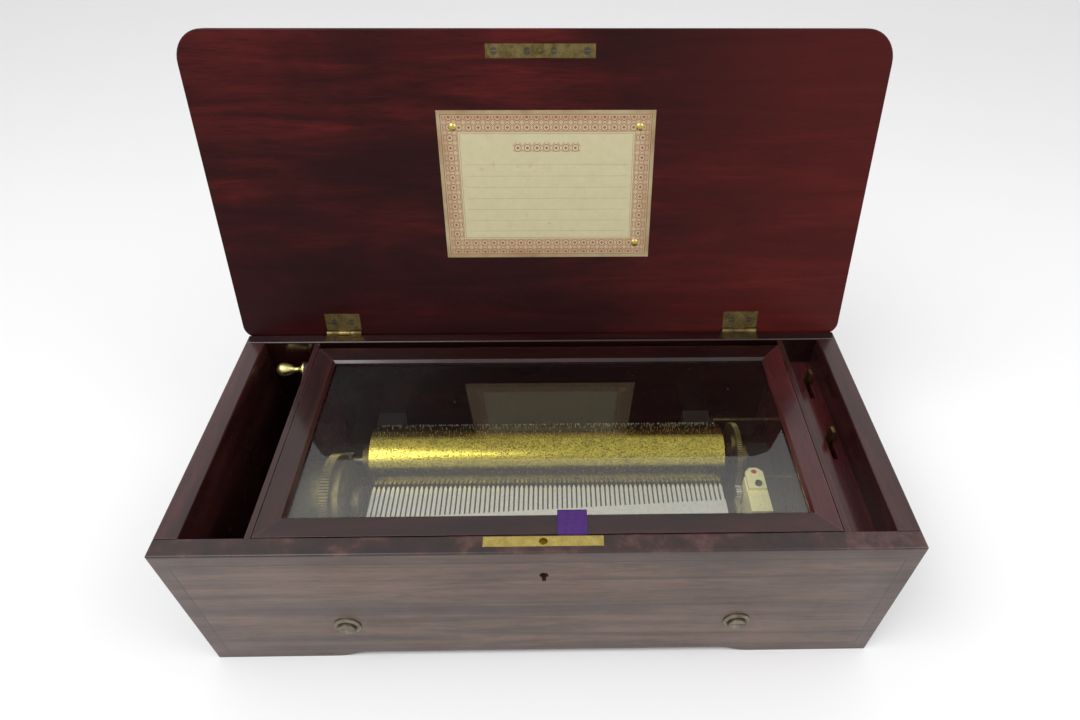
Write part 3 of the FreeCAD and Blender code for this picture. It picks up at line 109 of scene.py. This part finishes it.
class Shader:
    """A node material while it is put together. Inputs are sockets or plain values."""

    def __init__(self, name):
        self.material = bpy.data.materials.new(name)
        self.material.use_nodes = True
        self.tree = self.material.node_tree
        self.surface = self.tree.nodes["Principled BSDF"]
        self.output = self.tree.nodes["Material Output"]

    def put(self, socket, value):
        if isinstance(value, bpy.types.NodeSocket):
            self.tree.links.new(value, socket)
        else:
            socket.default_value = value

    def node(self, kind, settings=None, **inputs):
        made = self.tree.nodes.new(kind)
        for name, value in (settings or {}).items():
            setattr(made, name, value)
        for name, value in inputs.items():
            self.put(made.inputs[name.replace("_", " ")], value)
        return made

    def place(self):
        """Coordinates in the CAD frame, in metres."""
        return self.node("ShaderNodeTexCoord").outputs["Object"]

    def split(self, vector):
        return self.node("ShaderNodeSeparateXYZ", Vector=vector).outputs

    def scaled(self, vector, scale):
        made = self.node("ShaderNodeVectorMath", {"operation": "MULTIPLY"})
        self.put(made.inputs[0], vector)
        self.put(made.inputs[1], scale)
        return made.outputs["Vector"]

    def noise(self, vector, scale, detail=4.0, rough=0.55, bend=0.0):
        made = self.node("ShaderNodeTexNoise", Vector=vector, Scale=scale, Detail=detail,
                         Roughness=rough, Distortion=bend)
        return made.outputs["Fac"]

    def maths(self, operation, a, b=0.0, clamp=False):
        made = self.node("ShaderNodeMath", {"operation": operation, "use_clamp": clamp})
        self.put(made.inputs[0], a)
        self.put(made.inputs[1], b)
        return made.outputs["Value"]

    def ramp(self, value, *stops):
        """Colours or grey levels at positions from 0 to 1."""
        made = self.node("ShaderNodeValToRGB", Fac=value)
        points = made.color_ramp.elements
        while len(points) < len(stops):
            points.new(0.5)
        for point, (position, colour) in zip(points, stops):
            point.position = position
            point.color = (*colour, 1.0) if isinstance(colour, tuple) else (colour, colour, colour, 1.0)
        return made.outputs["Color"]

    def mix(self, share, a, b, blend="MIX"):
        made = self.node("ShaderNodeMix", {"data_type": "RGBA", "blend_type": blend})
        self.put(made.inputs[0], share)
        self.put(made.inputs[6], a if isinstance(a, bpy.types.NodeSocket) else (*a, 1.0))
        self.put(made.inputs[7], b if isinstance(b, bpy.types.NodeSocket) else (*b, 1.0))
        return made.outputs[2]

    def bump(self, height, distance, strength=1.0, under=None):
        made = self.node("ShaderNodeBump", Height=height, Distance=distance, Strength=strength)
        if under is not None:
            self.put(made.inputs["Normal"], under)
        return made.outputs["Normal"]

    def edges(self, radius):
        """Bright where two faces meet within the radius, for wear along arrises."""
        bevel = self.node("ShaderNodeBevel", {"samples": 6}, Radius=radius).outputs["Normal"]
        plain = self.node("ShaderNodeNewGeometry").outputs["Normal"]
        made = self.node("ShaderNodeVectorMath", {"operation": "DOT_PRODUCT"})
        self.put(made.inputs[0], bevel)
        self.put(made.inputs[1], plain)
        return self.ramp(made.outputs["Value"], (0.75, 1.0), (0.985, 0.0))

    def round_normal(self, radius):
        return self.node("ShaderNodeBevel", {"samples": 6}, Radius=radius).outputs["Normal"]

    def finish(self, **inputs):
        for name, value in inputs.items():
            self.put(self.surface.inputs[name.replace("_", " ")], value)
        return self.material


def soft_step(shader, value, start, stop):
    """0 before start, 1 after stop."""
    made = shader.node("ShaderNodeMapRange", {"clamp": True, "interpolation_type": "SMOOTHSTEP"},
                       Value=value, From_Min=start, From_Max=stop)
    return made.outputs["Result"]


def inside_edge(shader, x, y, half_x, half_y):
    """How far inside the edge of a centred rectangle a point lies."""
    inside_x = shader.maths("SUBTRACT", half_x, shader.maths("ABSOLUTE", x))
    inside_y = shader.maths("SUBTRACT", half_y, shader.maths("ABSOLUTE", y))
    return shader.maths("MINIMUM", inside_x, inside_y)


def before(shader, value, stop, soft=0.12 * MM):
    """1 up to a value, with a soft edge."""
    return shader.maths("SUBTRACT", 1.0, soft_step(shader, value, stop - soft, stop + soft))


def between(shader, value, low, high, soft=0.12 * MM):
    """1 between two values, with soft edges."""
    past_low = soft_step(shader, value, low - soft, low + soft)
    return shader.maths("MULTIPLY", past_low, before(shader, value, high, soft))


# Wood

def wood_colour(shader, place, along, dark, middle, light):
    """Grain colour along one axis, from broad figure, narrow bands and fine pores, and its fibre."""
    slow, fast = 5.0, 60.0
    stretch = tuple(slow if axis == along else fast for axis in "XYZ")
    bands = shader.noise(shader.scaled(place, stretch), 1.0, 6.0, 0.62, 0.9)
    fibre = shader.noise(shader.scaled(place, tuple(7.0 * share for share in stretch)), 1.6, 3.0, 0.6)
    cloud = shader.noise(place, 9.0, 3.0, 0.5)
    figure = shader.maths("ADD", shader.maths("MULTIPLY", bands, 0.75),
                          shader.maths("MULTIPLY", cloud, 0.25))
    colour = shader.ramp(figure, (0.30, dark), (0.50, middle), (0.72, light))
    pores = shader.ramp(fibre, (0.34, 0.55), (0.5, 1.0))
    return shader.mix(0.7, colour, pores, "MULTIPLY"), fibre


def wood(name, along, dark, middle, light, rough=0.16):
    """Polished wood with worn arrises."""
    shader = Shader(name)
    place = shader.place()
    colour, fibre = wood_colour(shader, place, along, dark, middle, light)
    scuffs = shader.noise(place, 55.0, 4.0, 0.7)
    edge = shader.maths("MULTIPLY", shader.edges(1.6 * MM),
                        shader.ramp(scuffs, (0.38, 0.0), (0.62, 0.5)))
    colour = shader.mix(edge, colour, (0.14, 0.06, 0.04))
    dull = shader.ramp(shader.noise(place, 24.0, 5.0, 0.65), (0.3, rough - 0.05), (0.7, rough + 0.12))
    normal = shader.bump(fibre, 0.02 * MM, 0.3, shader.round_normal(0.5 * MM))
    return shader.finish(Base_Color=colour, Roughness=dull, Normal=normal, Coat_Weight=0.25,
                         Coat_Roughness=0.08)


def front_wood():
    """Rosewood veneer with a thin dark line inlaid round its face."""
    shader = Shader("rosewood_front")
    place = shader.place()
    colour, fibre = wood_colour(shader, place, "X", (0.016, 0.007, 0.005), (0.086, 0.044, 0.029),
                                (0.170, 0.094, 0.062))
    streaks = shader.noise(shader.scaled(place, (1.2, 70.0, 70.0)), 1.0, 6.0, 0.6, 1.0)
    colour = shader.mix(shader.ramp(streaks, (0.32, 0.7), (0.50, 0.0)), colour, (0.026, 0.013, 0.010))
    low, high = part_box("case_front")
    x, y, z = shader.split(place)
    half_x = (high.x - low.x) / 2 - FRONT_LINE_INSET
    half_z = (high.z - low.z) / 2 - FRONT_LINE_INSET
    middle_z = (high.z + low.z) / 2
    from_x = shader.maths("SUBTRACT", shader.maths("ABSOLUTE", x), half_x)
    off_middle = shader.maths("ABSOLUTE", shader.maths("SUBTRACT", z, middle_z))
    from_z = shader.maths("SUBTRACT", off_middle, half_z)
    outside = shader.maths("MAXIMUM", from_x, from_z)
    on_face = shader.maths("LESS_THAN", y, low.y + 1.0 * MM)
    off_line = soft_step(shader, shader.maths("ABSOLUTE", outside), 0.35 * MM, 0.8 * MM)
    line = shader.maths("MULTIPLY", shader.maths("SUBTRACT", 1.0, off_line), on_face)
    colour = shader.mix(shader.maths("MULTIPLY", line, 0.7), colour, (0.012, 0.007, 0.006))
    band = shader.maths("GREATER_THAN", outside, 0.0)
    colour = shader.mix(shader.maths("MULTIPLY", band, 0.35), colour, (0.045, 0.022, 0.016))
    # A darker, mottled strip along the top edge of the front.
    top = soft_step(shader, z, high.z - 2.4 * MM, high.z - 1.2 * MM)
    scuffs = shader.noise(place, 48.0, 4.0, 0.7)
    top_strip_colour = shader.ramp(scuffs, (0.34, (0.010, 0.0030, 0.0030)), (0.52, (0.028, 0.0070, 0.0062)),
                         (0.70, (0.085, 0.036, 0.028)))
    colour = shader.mix(top, colour, top_strip_colour)
    edge = shader.maths("MULTIPLY", shader.edges(1.8 * MM), shader.ramp(scuffs, (0.36, 0.0), (0.6, 0.6)))
    colour = shader.mix(edge, colour, (0.20, 0.12, 0.085))
    dull = shader.ramp(shader.noise(place, 30.0, 5.0, 0.65), (0.3, 0.30), (0.7, 0.50))
    normal = shader.bump(fibre, 0.06 * MM, 0.5, shader.round_normal(1.0 * MM))
    return shader.finish(Base_Color=colour, Roughness=dull, Normal=normal, Coat_Weight=0.3,
                         Coat_Roughness=0.2)


def lid_place(shader):
    """X along the lid, distance up its inner face from the hinge line and depth behind that face."""
    low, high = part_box("hinge_pins")
    hinge = (low + high) / 2
    x, y, z = shader.split(shader.place())
    rise = shader.maths("SUBTRACT", z, hinge.z)
    back = shader.maths("SUBTRACT", y, hinge.y)
    up = shader.maths("ADD", shader.maths("MULTIPLY", rise, math.cos(LID_LEAN)),
                      shader.maths("MULTIPLY", back, math.sin(LID_LEAN)))
    out = shader.maths("SUBTRACT", shader.maths("MULTIPLY", back, math.cos(LID_LEAN)),
                       shader.maths("MULTIPLY", rise, math.sin(LID_LEAN)))
    return x, up, out


def lid_wood():
    """Deep red mahogany inside, an olive-brown rim, and veneer with an inlaid line outside."""
    shader = Shader("mahogany_lid")
    place = shader.place()
    colour, fibre = wood_colour(shader, place, "X", (0.012, 0.0012, 0.0014), (0.046, 0.0042, 0.0042),
                                (0.100, 0.0100, 0.0085))
    clouds = shader.noise(shader.scaled(place, (1.0, 2.2, 2.2)), 8.0, 4.0, 0.6, 0.6)
    colour = shader.mix(shader.ramp(clouds, (0.36, 0.7), (0.62, 0.0)), colour, (0.012, 0.0022, 0.0026))
    x, up, out = lid_place(shader)
    # Painted shade darkens the lower left of the inner face and a painted sheen lightens its right-hand
    # side; both stand in for how the light falls on the lid.
    low_down = shader.maths("SUBTRACT", 1.0, soft_step(shader, up, 30.0 * MM, 110.0 * MM))
    leftward = shader.maths("SUBTRACT", 1.0, soft_step(shader, x, 40.0 * MM, 190.0 * MM))
    shade = shader.maths("MULTIPLY", low_down, leftward)
    colour = shader.mix(shader.maths("MULTIPLY", shade, 0.6), colour, (0.010, 0.0010, 0.0012))
    painted_sheen = shader.maths("MULTIPLY", soft_step(shader, x, 20.0 * MM, 230.0 * MM), 0.35)
    colour = shader.mix(painted_sheen, colour, (0.105, 0.0125, 0.0100))
    rim = soft_step(shader, out, 0.8 * MM, 3.2 * MM)
    rim_colour = shader.mix(shader.noise(place, 60.0, 4.0, 0.6), (0.030, 0.024, 0.012),
                            (0.085, 0.070, 0.036))
    colour = shader.mix(rim, colour, rim_colour)
    veneer, _ = wood_colour(shader, shader.scaled(place, (1.0, 1.3, 1.3)), "X", (0.016, 0.007, 0.005),
                            (0.070, 0.034, 0.023), (0.140, 0.076, 0.050))
    low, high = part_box("lid_panel")
    reach = (high.z - low.z) / math.cos(LID_LEAN) / 2
    inside = inside_edge(shader, x, shader.maths("SUBTRACT", up, reach), high.x, reach)
    inlay = shader.maths("MULTIPLY", between(shader, inside, *LID_LINE_INSET, 0.3 * MM), 0.75)
    veneer = shader.mix(inlay, veneer, (0.010, 0.006, 0.005))
    colour = shader.mix(soft_step(shader, out, 9.5 * MM, 12.5 * MM), colour, veneer)
    scuffs = shader.noise(place, 60.0, 5.0, 0.7)
    edge = shader.maths("MULTIPLY", shader.edges(1.5 * MM), shader.ramp(scuffs, (0.4, 0.0), (0.62, 0.5)))
    colour = shader.mix(edge, colour, (0.13, 0.08, 0.05))
    dull = shader.ramp(shader.noise(place, 20.0, 5.0, 0.65), (0.3, 0.24), (0.7, 0.42))
    normal = shader.bump(fibre, 0.04 * MM, 0.4, shader.round_normal(0.8 * MM))
    return shader.finish(Base_Color=colour, Roughness=dull, Normal=normal, Specular_IOR_Level=0.10,
                         Coat_Weight=0.03, Coat_Roughness=0.12)


# Metals, glass, card and ribbon

def metal(name, bright, dim, rough, grime=0.5, wear=0.22, pin_shadow_specks=0.0, bare=1.0):
    """Old metal: patches of tarnish, fine scratches and dark pits; on the drum the pits are strengthened
    into painted shadows of its pins. Bare metal has no lacquer on it.
    """
    shader = Shader(name)
    place = shader.place()
    patches = shader.noise(place, 140.0, 6.0, 0.68, 0.4)
    specks = shader.noise(place, 900.0, 3.0, 0.6)
    stain = shader.ramp(patches, (0.38, grime), (0.66, 0.0))
    colour = shader.mix(stain, bright, dim)
    # Dark pits of the metal; the drum's stronger dark specks are painted shadows of its pins.
    pits_and_pin_shadows = shader.ramp(specks, (0.30 + pin_shadow_specks, 0.5 + 4 * pin_shadow_specks), (0.42 + pin_shadow_specks, 0.0))
    colour = shader.mix(pits_and_pin_shadows, colour, tuple(0.35 * level for level in dim))
    dull = shader.ramp(patches, (0.34, rough + wear), (0.68, rough))
    scratches = shader.noise(shader.scaled(place, (900.0, 60.0, 900.0)), 1.0, 4.0, 0.6)
    normal = shader.bump(scratches, 0.02 * MM, 0.35, shader.round_normal(0.25 * MM))
    return shader.finish(Base_Color=colour, Metallic=bare, Roughness=dull, Normal=normal)


def cast_iron():
    shader = Shader("cast_iron")
    place = shader.place()
    grain = shader.noise(place, 420.0, 5.0, 0.6)
    colour = shader.mix(grain, (0.012, 0.010, 0.008), (0.035, 0.030, 0.022))
    normal = shader.bump(grain, 0.3 * MM, 0.5)
    return shader.finish(Base_Color=colour, Roughness=0.6, Metallic=0.2, Normal=normal)


def pane_glass():
    """Clear glass that lets light through straight, mirrors at a slant and carries dust, smears and a
    haze that thickens towards the front.
    """
    shader = Shader("pane_glass")
    place = shader.place()
    clear = shader.node("ShaderNodeBsdfTransparent", Color=(0.96, 0.97, 0.96, 1.0))
    mirror = shader.node("ShaderNodeBsdfGlossy", Color=(1.0, 1.0, 1.0, 1.0), Roughness=0.012)
    slant = shader.node("ShaderNodeFresnel", IOR=1.5).outputs["Fac"]
    inner_side = shader.node("ShaderNodeNewGeometry").outputs["Backfacing"]
    slant = shader.maths("MULTIPLY", slant, shader.maths("SUBTRACT", 1.0, inner_side))
    sheet = shader.node("ShaderNodeMixShader", Fac=shader.maths("MULTIPLY", slant, 1.7, True))
    shader.put(sheet.inputs[1], clear.outputs["BSDF"])
    shader.put(sheet.inputs[2], mirror.outputs["BSDF"])
    smears = shader.noise(shader.scaled(place, (14.0, 9.0, 1.0)), 1.0, 6.0, 0.7, 1.5)
    specks = shader.noise(place, 520.0, 2.0, 0.5)
    dust_and_front_haze = shader.maths("ADD", shader.ramp(smears, (0.54, 0.0), (0.82, 0.008)),
                        shader.ramp(specks, (0.71, 0.0), (0.80, 0.14)))
    y = shader.split(place)["Y"]
    # A whitish haze that grows towards the front edge of the pane.
    near_front = shader.maths("MULTIPLY", soft_step(shader, y, 0.0, -95.0 * MM), 0.05)
    dust_and_front_haze = shader.maths("ADD", dust_and_front_haze, near_front)
    haze = shader.node("ShaderNodeBsdfDiffuse", Color=(0.62, 0.60, 0.54, 1.0))
    whole = shader.node("ShaderNodeMixShader", Fac=dust_and_front_haze)
    shader.put(whole.inputs[1], sheet.outputs["Shader"])
    shader.put(whole.inputs[2], haze.outputs["BSDF"])
    shader.put(shader.output.inputs["Surface"], whole.outputs["Shader"])
    return shader.material


def garnet():
    shader = Shader("garnet")
    veins = shader.noise(shader.place(), 700.0, 3.0, 0.6)
    colour = shader.mix(veins, (0.22, 0.006, 0.010), (0.55, 0.03, 0.03))
    return shader.finish(Base_Color=colour, Roughness=0.12, Coat_Weight=0.6)


def tune_card():
    """Cream card, browned at its edges, with a plain border of rings and lozenges and ruled lines."""
    shader = Shader("tune_card")
    low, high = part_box("tune_card")
    x, up, _ = lid_place(shader)
    hinge_low, hinge_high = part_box("hinge_pins")
    hinge_z = (hinge_low.z + hinge_high.z) / 2
    top = (high.z - hinge_z) / math.cos(LID_LEAN)
    bottom = (low.z - hinge_z) / math.cos(LID_LEAN)
    across = shader.maths("SUBTRACT", x, (low.x + high.x) / 2)
    upward = shader.maths("SUBTRACT", up, (top + bottom) / 2)
    inside = inside_edge(shader, across, upward, (high.x - low.x) / 2, (top - bottom) / 2)
    place = shader.place()
    paper = shader.mix(shader.noise(place, 160.0, 5.0, 0.6), (0.44, 0.385, 0.225), (0.54, 0.49, 0.31))
    near_edge = shader.maths("SUBTRACT", 1.0, soft_step(shader, inside, 0.0, 11.0 * MM))
    blotches = shader.ramp(shader.noise(place, 38.0, 5.0, 0.6), (0.3, 0.35), (0.7, 0.95))
    browned = shader.maths("MULTIPLY", near_edge, blotches)
    paper = shader.mix(browned, paper, (0.22, 0.115, 0.042))
    cell_x = shader.maths("PINGPONG", across, CARD_PITCH / 2)
    cell_y = shader.maths("PINGPONG", upward, CARD_PITCH / 2)
    ring = shader.maths("SQRT", shader.maths("ADD", shader.maths("MULTIPLY", cell_x, cell_x),
                                             shader.maths("MULTIPLY", cell_y, cell_y)))
    lozenge = shader.maths("ADD", cell_x, cell_y)
    motif = shader.maths("MAXIMUM", between(shader, ring, 2.2 * MM, 2.8 * MM),
                         between(shader, lozenge, 0.0, 1.3 * MM))
    motif = shader.maths("MAXIMUM", motif, between(shader, lozenge, 4.6 * MM, 5.2 * MM))
    band = between(shader, inside, *CARD_BAND)
    border = shader.maths("MULTIPLY", motif, band)
    for start, stop in CARD_LINES:
        border = shader.maths("MAXIMUM", border, between(shader, inside, start, stop))
    chain = shader.maths("MULTIPLY", between(shader, upward, *CARD_CHAIN),
                         before(shader, shader.maths("ABSOLUTE", across), CARD_CHAIN_HALF))
    border = shader.maths("MAXIMUM", border, shader.maths("MULTIPLY", motif, chain))
    tint = shader.mix(shader.maths("MULTIPLY", band, 0.22), paper, (0.34, 0.10, 0.04))
    colour = shader.mix(shader.maths("MULTIPLY", border, 0.85), tint, (0.22, 0.040, 0.018))
    field = soft_step(shader, inside, 19.0 * MM, 19.4 * MM)
    rule = shader.maths("PINGPONG", upward, CARD_RULE_PITCH)
    lines = shader.maths("MULTIPLY", before(shader, rule, 0.13 * MM, 0.06 * MM), field)
    below_head = shader.maths("LESS_THAN", upward, CARD_HEAD)
    lines = shader.maths("MULTIPLY", lines, below_head)
    colour = shader.mix(shader.maths("MULTIPLY", lines, 0.55), colour, (0.20, 0.12, 0.06))
    spots = shader.ramp(shader.noise(place, 240.0, 3.0, 0.6), (0.66, 0.0), (0.74, 0.45))
    colour = shader.mix(spots, colour, (0.36, 0.22, 0.09))
    fibres = shader.noise(place, 1600.0, 3.0, 0.6)
    return shader.finish(Base_Color=colour, Roughness=0.72, Normal=shader.bump(fibres, 0.03 * MM, 0.4))


def ribbon_cloth():
    """Violet ribbon with ribs of weft."""
    shader = Shader("ribbon_cloth")
    place = shader.place()
    wave = shader.node("ShaderNodeTexWave", {"bands_direction": "X", "wave_profile": "SIN"},
                       Vector=place, Scale=420.0, Distortion=0.6, Detail=2.0)
    cross = shader.noise(shader.scaled(place, (260.0, 2400.0, 2400.0)), 1.0, 3.0, 0.6)
    shade = shader.maths("ADD", shader.maths("MULTIPLY", wave.outputs["Fac"], 0.5),
                         shader.maths("MULTIPLY", cross, 0.5))
    colour = shader.ramp(shade, (0.25, (0.022, 0.006, 0.060)), (0.75, (0.100, 0.040, 0.210)))
    normal = shader.bump(shade, 0.12 * MM, 0.6)
    return shader.finish(Base_Color=colour, Roughness=0.8, Specular_IOR_Level=0.15, Normal=normal)


def paint_frame():
    """Gives every CAD node the material of its slot or one of its own, with grain along the board."""
    tones = ((0.007, 0.0016, 0.0016), (0.022, 0.0046, 0.0042), (0.046, 0.0105, 0.0088))
    dark_x = wood("dark_wood_x", "X", *tones)
    dark_y = wood("dark_wood_y", "Y", *tones)
    # A darker copy of the dark wood for the case back and the back rail: painted shade standing in for
    # the shadow of the lid.
    shaded_dark_x = wood("shaded_dark_wood_x", "X", *(tuple(0.62 * level for level in tone) for tone in tones))
    # A brighter, redder copy of the wood for the right rail and the control board: painted light
    # standing in for the light that falls on the right-hand side.
    lit_red_y = wood("lit_red_wood_y", "Y", (0.022, 0.0046, 0.0052), (0.060, 0.0105, 0.0115),
                 (0.110, 0.0215, 0.0205))
    side = wood("rosewood_side", "Y", (0.011, 0.0034, 0.0034), (0.034, 0.0088, 0.0085),
                (0.068, 0.021, 0.019), 0.20)
    inner = wood("inner_wood", "Y", (0.010, 0.0026, 0.0025), (0.034, 0.0076, 0.0072),
                 (0.066, 0.0165, 0.0150), 0.24)
    brass = metal("brass", (0.62, 0.49, 0.15), (0.26, 0.18, 0.045), 0.22)
    pale = metal("pale_brass", (0.97, 0.90, 0.48), (0.66, 0.54, 0.22), 0.60, 0.3, 0.1, bare=0.35)
    # The drum's strong dark specks are painted shadows of the pins.
    drum = metal("drum_brass", (0.64, 0.52, 0.098), (0.20, 0.15, 0.032), 0.20, 0.40, 0.06, 0.085)
    knob = metal("knob_brass", (0.84, 0.74, 0.32), (0.42, 0.33, 0.11), 0.24, 0.3)
    dull = metal("dull_brass", (0.26, 0.21, 0.085), (0.09, 0.065, 0.025), 0.40, 0.7)
    worn = metal("worn_brass", (0.22, 0.17, 0.065), (0.075, 0.05, 0.02), 0.34, 0.8)
    steel = metal("steel", (0.72, 0.71, 0.68), (0.34, 0.31, 0.26), 0.26, 0.4)
    blued = metal("blued_steel", (0.10, 0.09, 0.08), (0.035, 0.028, 0.022), 0.38, 0.7)
    bright = metal("comb_steel", (0.90, 0.89, 0.84), (0.55, 0.52, 0.46), 0.34, 0.35)
    bronze = metal("bronze", (0.30, 0.27, 0.21), (0.10, 0.085, 0.06), 0.36, 0.7)
    spring = metal("spring_steel", (0.30, 0.31, 0.34), (0.1, 0.1, 0.11), 0.35)
    iron = cast_iron()
    slots = {
        "rosewood": side, "dark_wood": dark_x, "inner_wood": inner, "mahogany": lid_wood(),
        "brass": brass, "worn_brass": worn, "steel": steel, "spring_steel": spring, "iron": iron,
        "glass": pane_glass(), "garnet": garnet(), "card": tune_card(), "ribbon": ribbon_cloth(),
    }
    grouped = (
        (front_wood(), ("case_front",)),
        (shaded_dark_x, ("case_back", "glass_frame_back_rail")),
        (dark_y, ("glass_frame_left_rail",)),
        (lit_red_y, ("glass_frame_right_rail", "control_board")),
        (drum, ("cylinder_sleeve", "cylinder_end_caps")),
        (pale, ("governor_cock", "governor_frame")),
        (knob, ("lever_knob",)),
        (dull, ("spring_barrel", "barrel_wheel", "barrel_cover", "barrel_bridge", "left_bearing",
                "right_bearing", "great_wheel", "tune_snail")),
        (worn, ("strike_plate", "hinge_case_leaves", "hinge_lid_leaves")),
        (bright, ("comb",)),
        (blued, ("movement_screws", "lid_screws", "case_screws")),
        (bronze, ("cylinder_arbor", "barrel_arbor", "bolt_washers", "bedplate_bolts")),
        # The winding lever, a steel part, gets the near-black cast iron: painted shade standing in for
        # the shadow it lies in.
        (iron, ("winding_lever",)),
    )
    own = {node: material for material, nodes in grouped for node in nodes}
    for part in frame["record"]["subparts"]:
        mesh = frame["nodes"][part["node"]].data
        material = own.get(part["node"], slots[part["material_slot"]])
        if not mesh.materials:
            mesh.materials.append(material)
        for index in range(len(mesh.materials)):
            mesh.materials[index] = material
    return slots


# Pieces made here

def new_piece(name, mesh, material, body):
    piece = bpy.data.objects.new(name, mesh)
    bpy.context.scene.collection.objects.link(piece)
    piece.data.materials.append(material)
    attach(piece, body)
    return piece


def cylinder_pin_field(steel):
    """The pins of every tune: short steel wires, set in chords round the sleeve."""
    low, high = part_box("cylinder_sleeve")
    tip_low, tip_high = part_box("cylinder_pins")
    axis = (low + high) / 2
    radius = (high.z - low.z) / 2
    tip = (tip_high.z - tip_low.z) / 2
    tracks = int((tip_high.x - tip_low.x) / PIN_TRACK_PITCH)
    choice = random.Random(PIN_SEED)
    places = []
    for _ in range(PIN_CHORDS):
        angle = choice.uniform(0.0, 2 * math.pi)
        track = choice.randrange(tracks)
        for _ in range(choice.randint(*PINS_IN_CHORD)):
            x = tip_low.x + PIN_TRACK_PITCH * (track % tracks + 0.5)
            places.append((x, angle + choice.gauss(0.0, PIN_SCATTER)))
            track += choice.randint(*PIN_TRACK_STEP)
    mesh = bpy.data.meshes.new("cylinder_pin_field")
    field = bmesh.new()
    for x, angle in places:
        out = Vector((0.0, math.cos(angle), math.sin(angle)))
        side = Vector((0.0, -out.z, out.y))
        rings = []
        for reach in (radius - PIN_ROOT, tip):
            middle = Vector((x, axis.y, axis.z)) + out * reach
            ring = []
            for corner in range(PIN_SIDES):
                turn = 2 * math.pi * corner / PIN_SIDES
                offset = Vector((1, 0, 0)) * math.cos(turn) + side * math.sin(turn)
                ring.append(field.verts.new(middle + offset * PIN_RADIUS))
            rings.append(ring)
        root, end = rings
        for corner in range(PIN_SIDES):
            following = (corner + 1) % PIN_SIDES
            field.faces.new((root[corner], root[following], end[following], end[corner]))
        field.faces.new(root)
        field.faces.new(end)
    bmesh.ops.recalc_face_normals(field, faces=field.faces)
    field.to_mesh(mesh)
    field.free()
    piece = new_piece("cylinder_pin_field", mesh, steel, "cylinder")
    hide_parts("cylinder_pins")


def ribbon(cloth):
    """The violet tab: up the front of the rail, folded over its edge and back along its top."""
    low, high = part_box("ribbon_tab")
    rail_low, rail_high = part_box("glass_frame_front_rail")
    thickness = high.z - rail_high.z
    front = rail_low.y - RIBBON_CLEARANCE
    top = rail_high.z + RIBBON_CLEARANCE
    bend = RIBBON_BEND
    path = [(front, low.z), (front, (low.z + top) / 2), (front, top - bend)]
    for step in range(1, RIBBON_BEND_STEPS):
        turn = math.pi / 2 * step / RIBBON_BEND_STEPS
        path.append((front + bend * (1 - math.cos(turn)), top - bend + bend * math.sin(turn)))
    rest = high.y - front - bend
    for step in range(RIBBON_TOP_STEPS + 1):
        share = step / RIBBON_TOP_STEPS
        lift = RIBBON_LIFT * math.sin(math.pi * share) + RIBBON_RIPPLE * math.sin(5 * share)
        path.append((front + bend + rest * share, top + max(0.0, lift)))
    mesh = bpy.data.meshes.new("ribbon_sheet")
    cloth_mesh = bmesh.new()
    rows = []
    for y, z in path:
        row = []
        for thread in range(RIBBON_THREADS + 1):
            x = low.x + (high.x - low.x) * thread / RIBBON_THREADS
            row.append(cloth_mesh.verts.new((x, y, z)))
        rows.append(row)
    for near, far in zip(rows, rows[1:]):
        for thread in range(RIBBON_THREADS):
            cloth_mesh.faces.new((near[thread], near[thread + 1], far[thread + 1], far[thread]))
    cloth_mesh.to_mesh(mesh)
    cloth_mesh.free()
    for polygon in mesh.polygons:
        polygon.use_smooth = True
    piece = new_piece("ribbon_sheet", mesh, cloth, "glass_lid")
    thick = piece.modifiers.new("cloth_thickness", "SOLIDIFY")
    thick.thickness = thickness * 0.6
    thick.offset = 1.0
    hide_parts("ribbon_tab")


# Studio

def studio_floor():
    bpy.ops.mesh.primitive_plane_add(size=FLOOR_SIZE, location=(0.0, 0.0, 0.0))
    floor = bpy.context.object
    floor.name = "studio_floor"
    shader = Shader("studio_floor")
    fleck = shader.noise(shader.place(), 3.0, 4.0, 0.5)
    shader.finish(Base_Color=shader.mix(fleck, (0.83, 0.83, 0.84), (0.86, 0.86, 0.86)), Roughness=0.7)
    floor.data.materials.append(shader.material)


def area_light(name, place, size, power):
    data = bpy.data.lights.new(name, "AREA")
    data.shape = "RECTANGLE"
    data.size, data.size_y = size
    data.energy = power
    light = bpy.data.objects.new(name, data)
    light.location = place
    light.rotation_euler = (Vector(LIGHT_AIM) - Vector(place)).to_track_quat("-Z", "Y").to_euler()
    bpy.context.scene.collection.objects.link(light)


def studio():
    studio_floor()
    world = bpy.data.worlds.new("studio")
    world.use_nodes = True
    sky = world.node_tree.nodes["Background"]
    sky.inputs["Color"].default_value = (1.0, 1.0, 1.0, 1.0)
    sky.inputs["Strength"].default_value = WORLD_STRENGTH
    bpy.context.scene.world = world
    bpy.context.scene.view_settings.view_transform = "Standard"
    area_light("key_light", (-0.7, -0.5, 1.5), (1.0, 0.8), 12.0)
    area_light("fill_light", (1.0, -0.3, 1.2), (0.8, 0.8), 5.0)


def photo_camera():
    data = bpy.data.cameras.new("photo_camera")
    data.sensor_width = 36.0
    data.lens = CAMERA_LENS_MM
    data.shift_x, data.shift_y = CAMERA_SHIFT
    data.clip_start = 0.01
    camera = bpy.data.objects.new("photo_camera", data)
    aim = Euler((math.pi / 2 - CAMERA_PITCH, 0.0, CAMERA_YAW)).to_matrix()
    turn = aim @ Matrix.Rotation(CAMERA_ROLL, 3, "Z")
    camera.matrix_world = Matrix.LocRotScale(CAMERA_PLACE, turn.to_quaternion(), None)
    bpy.context.scene.collection.objects.link(camera)
    bpy.context.scene.camera = camera


materials = paint_frame()
# The pins' steel is darker than bare steel: partly its own colour, partly painted shade so the pins read
# as dark specks.
cylinder_pin_field(metal("shaded_pin_steel", (0.34, 0.31, 0.25), (0.12, 0.10, 0.08), 0.30, 0.5))
ribbon(materials["ribbon"])
studio()
photo_camera()
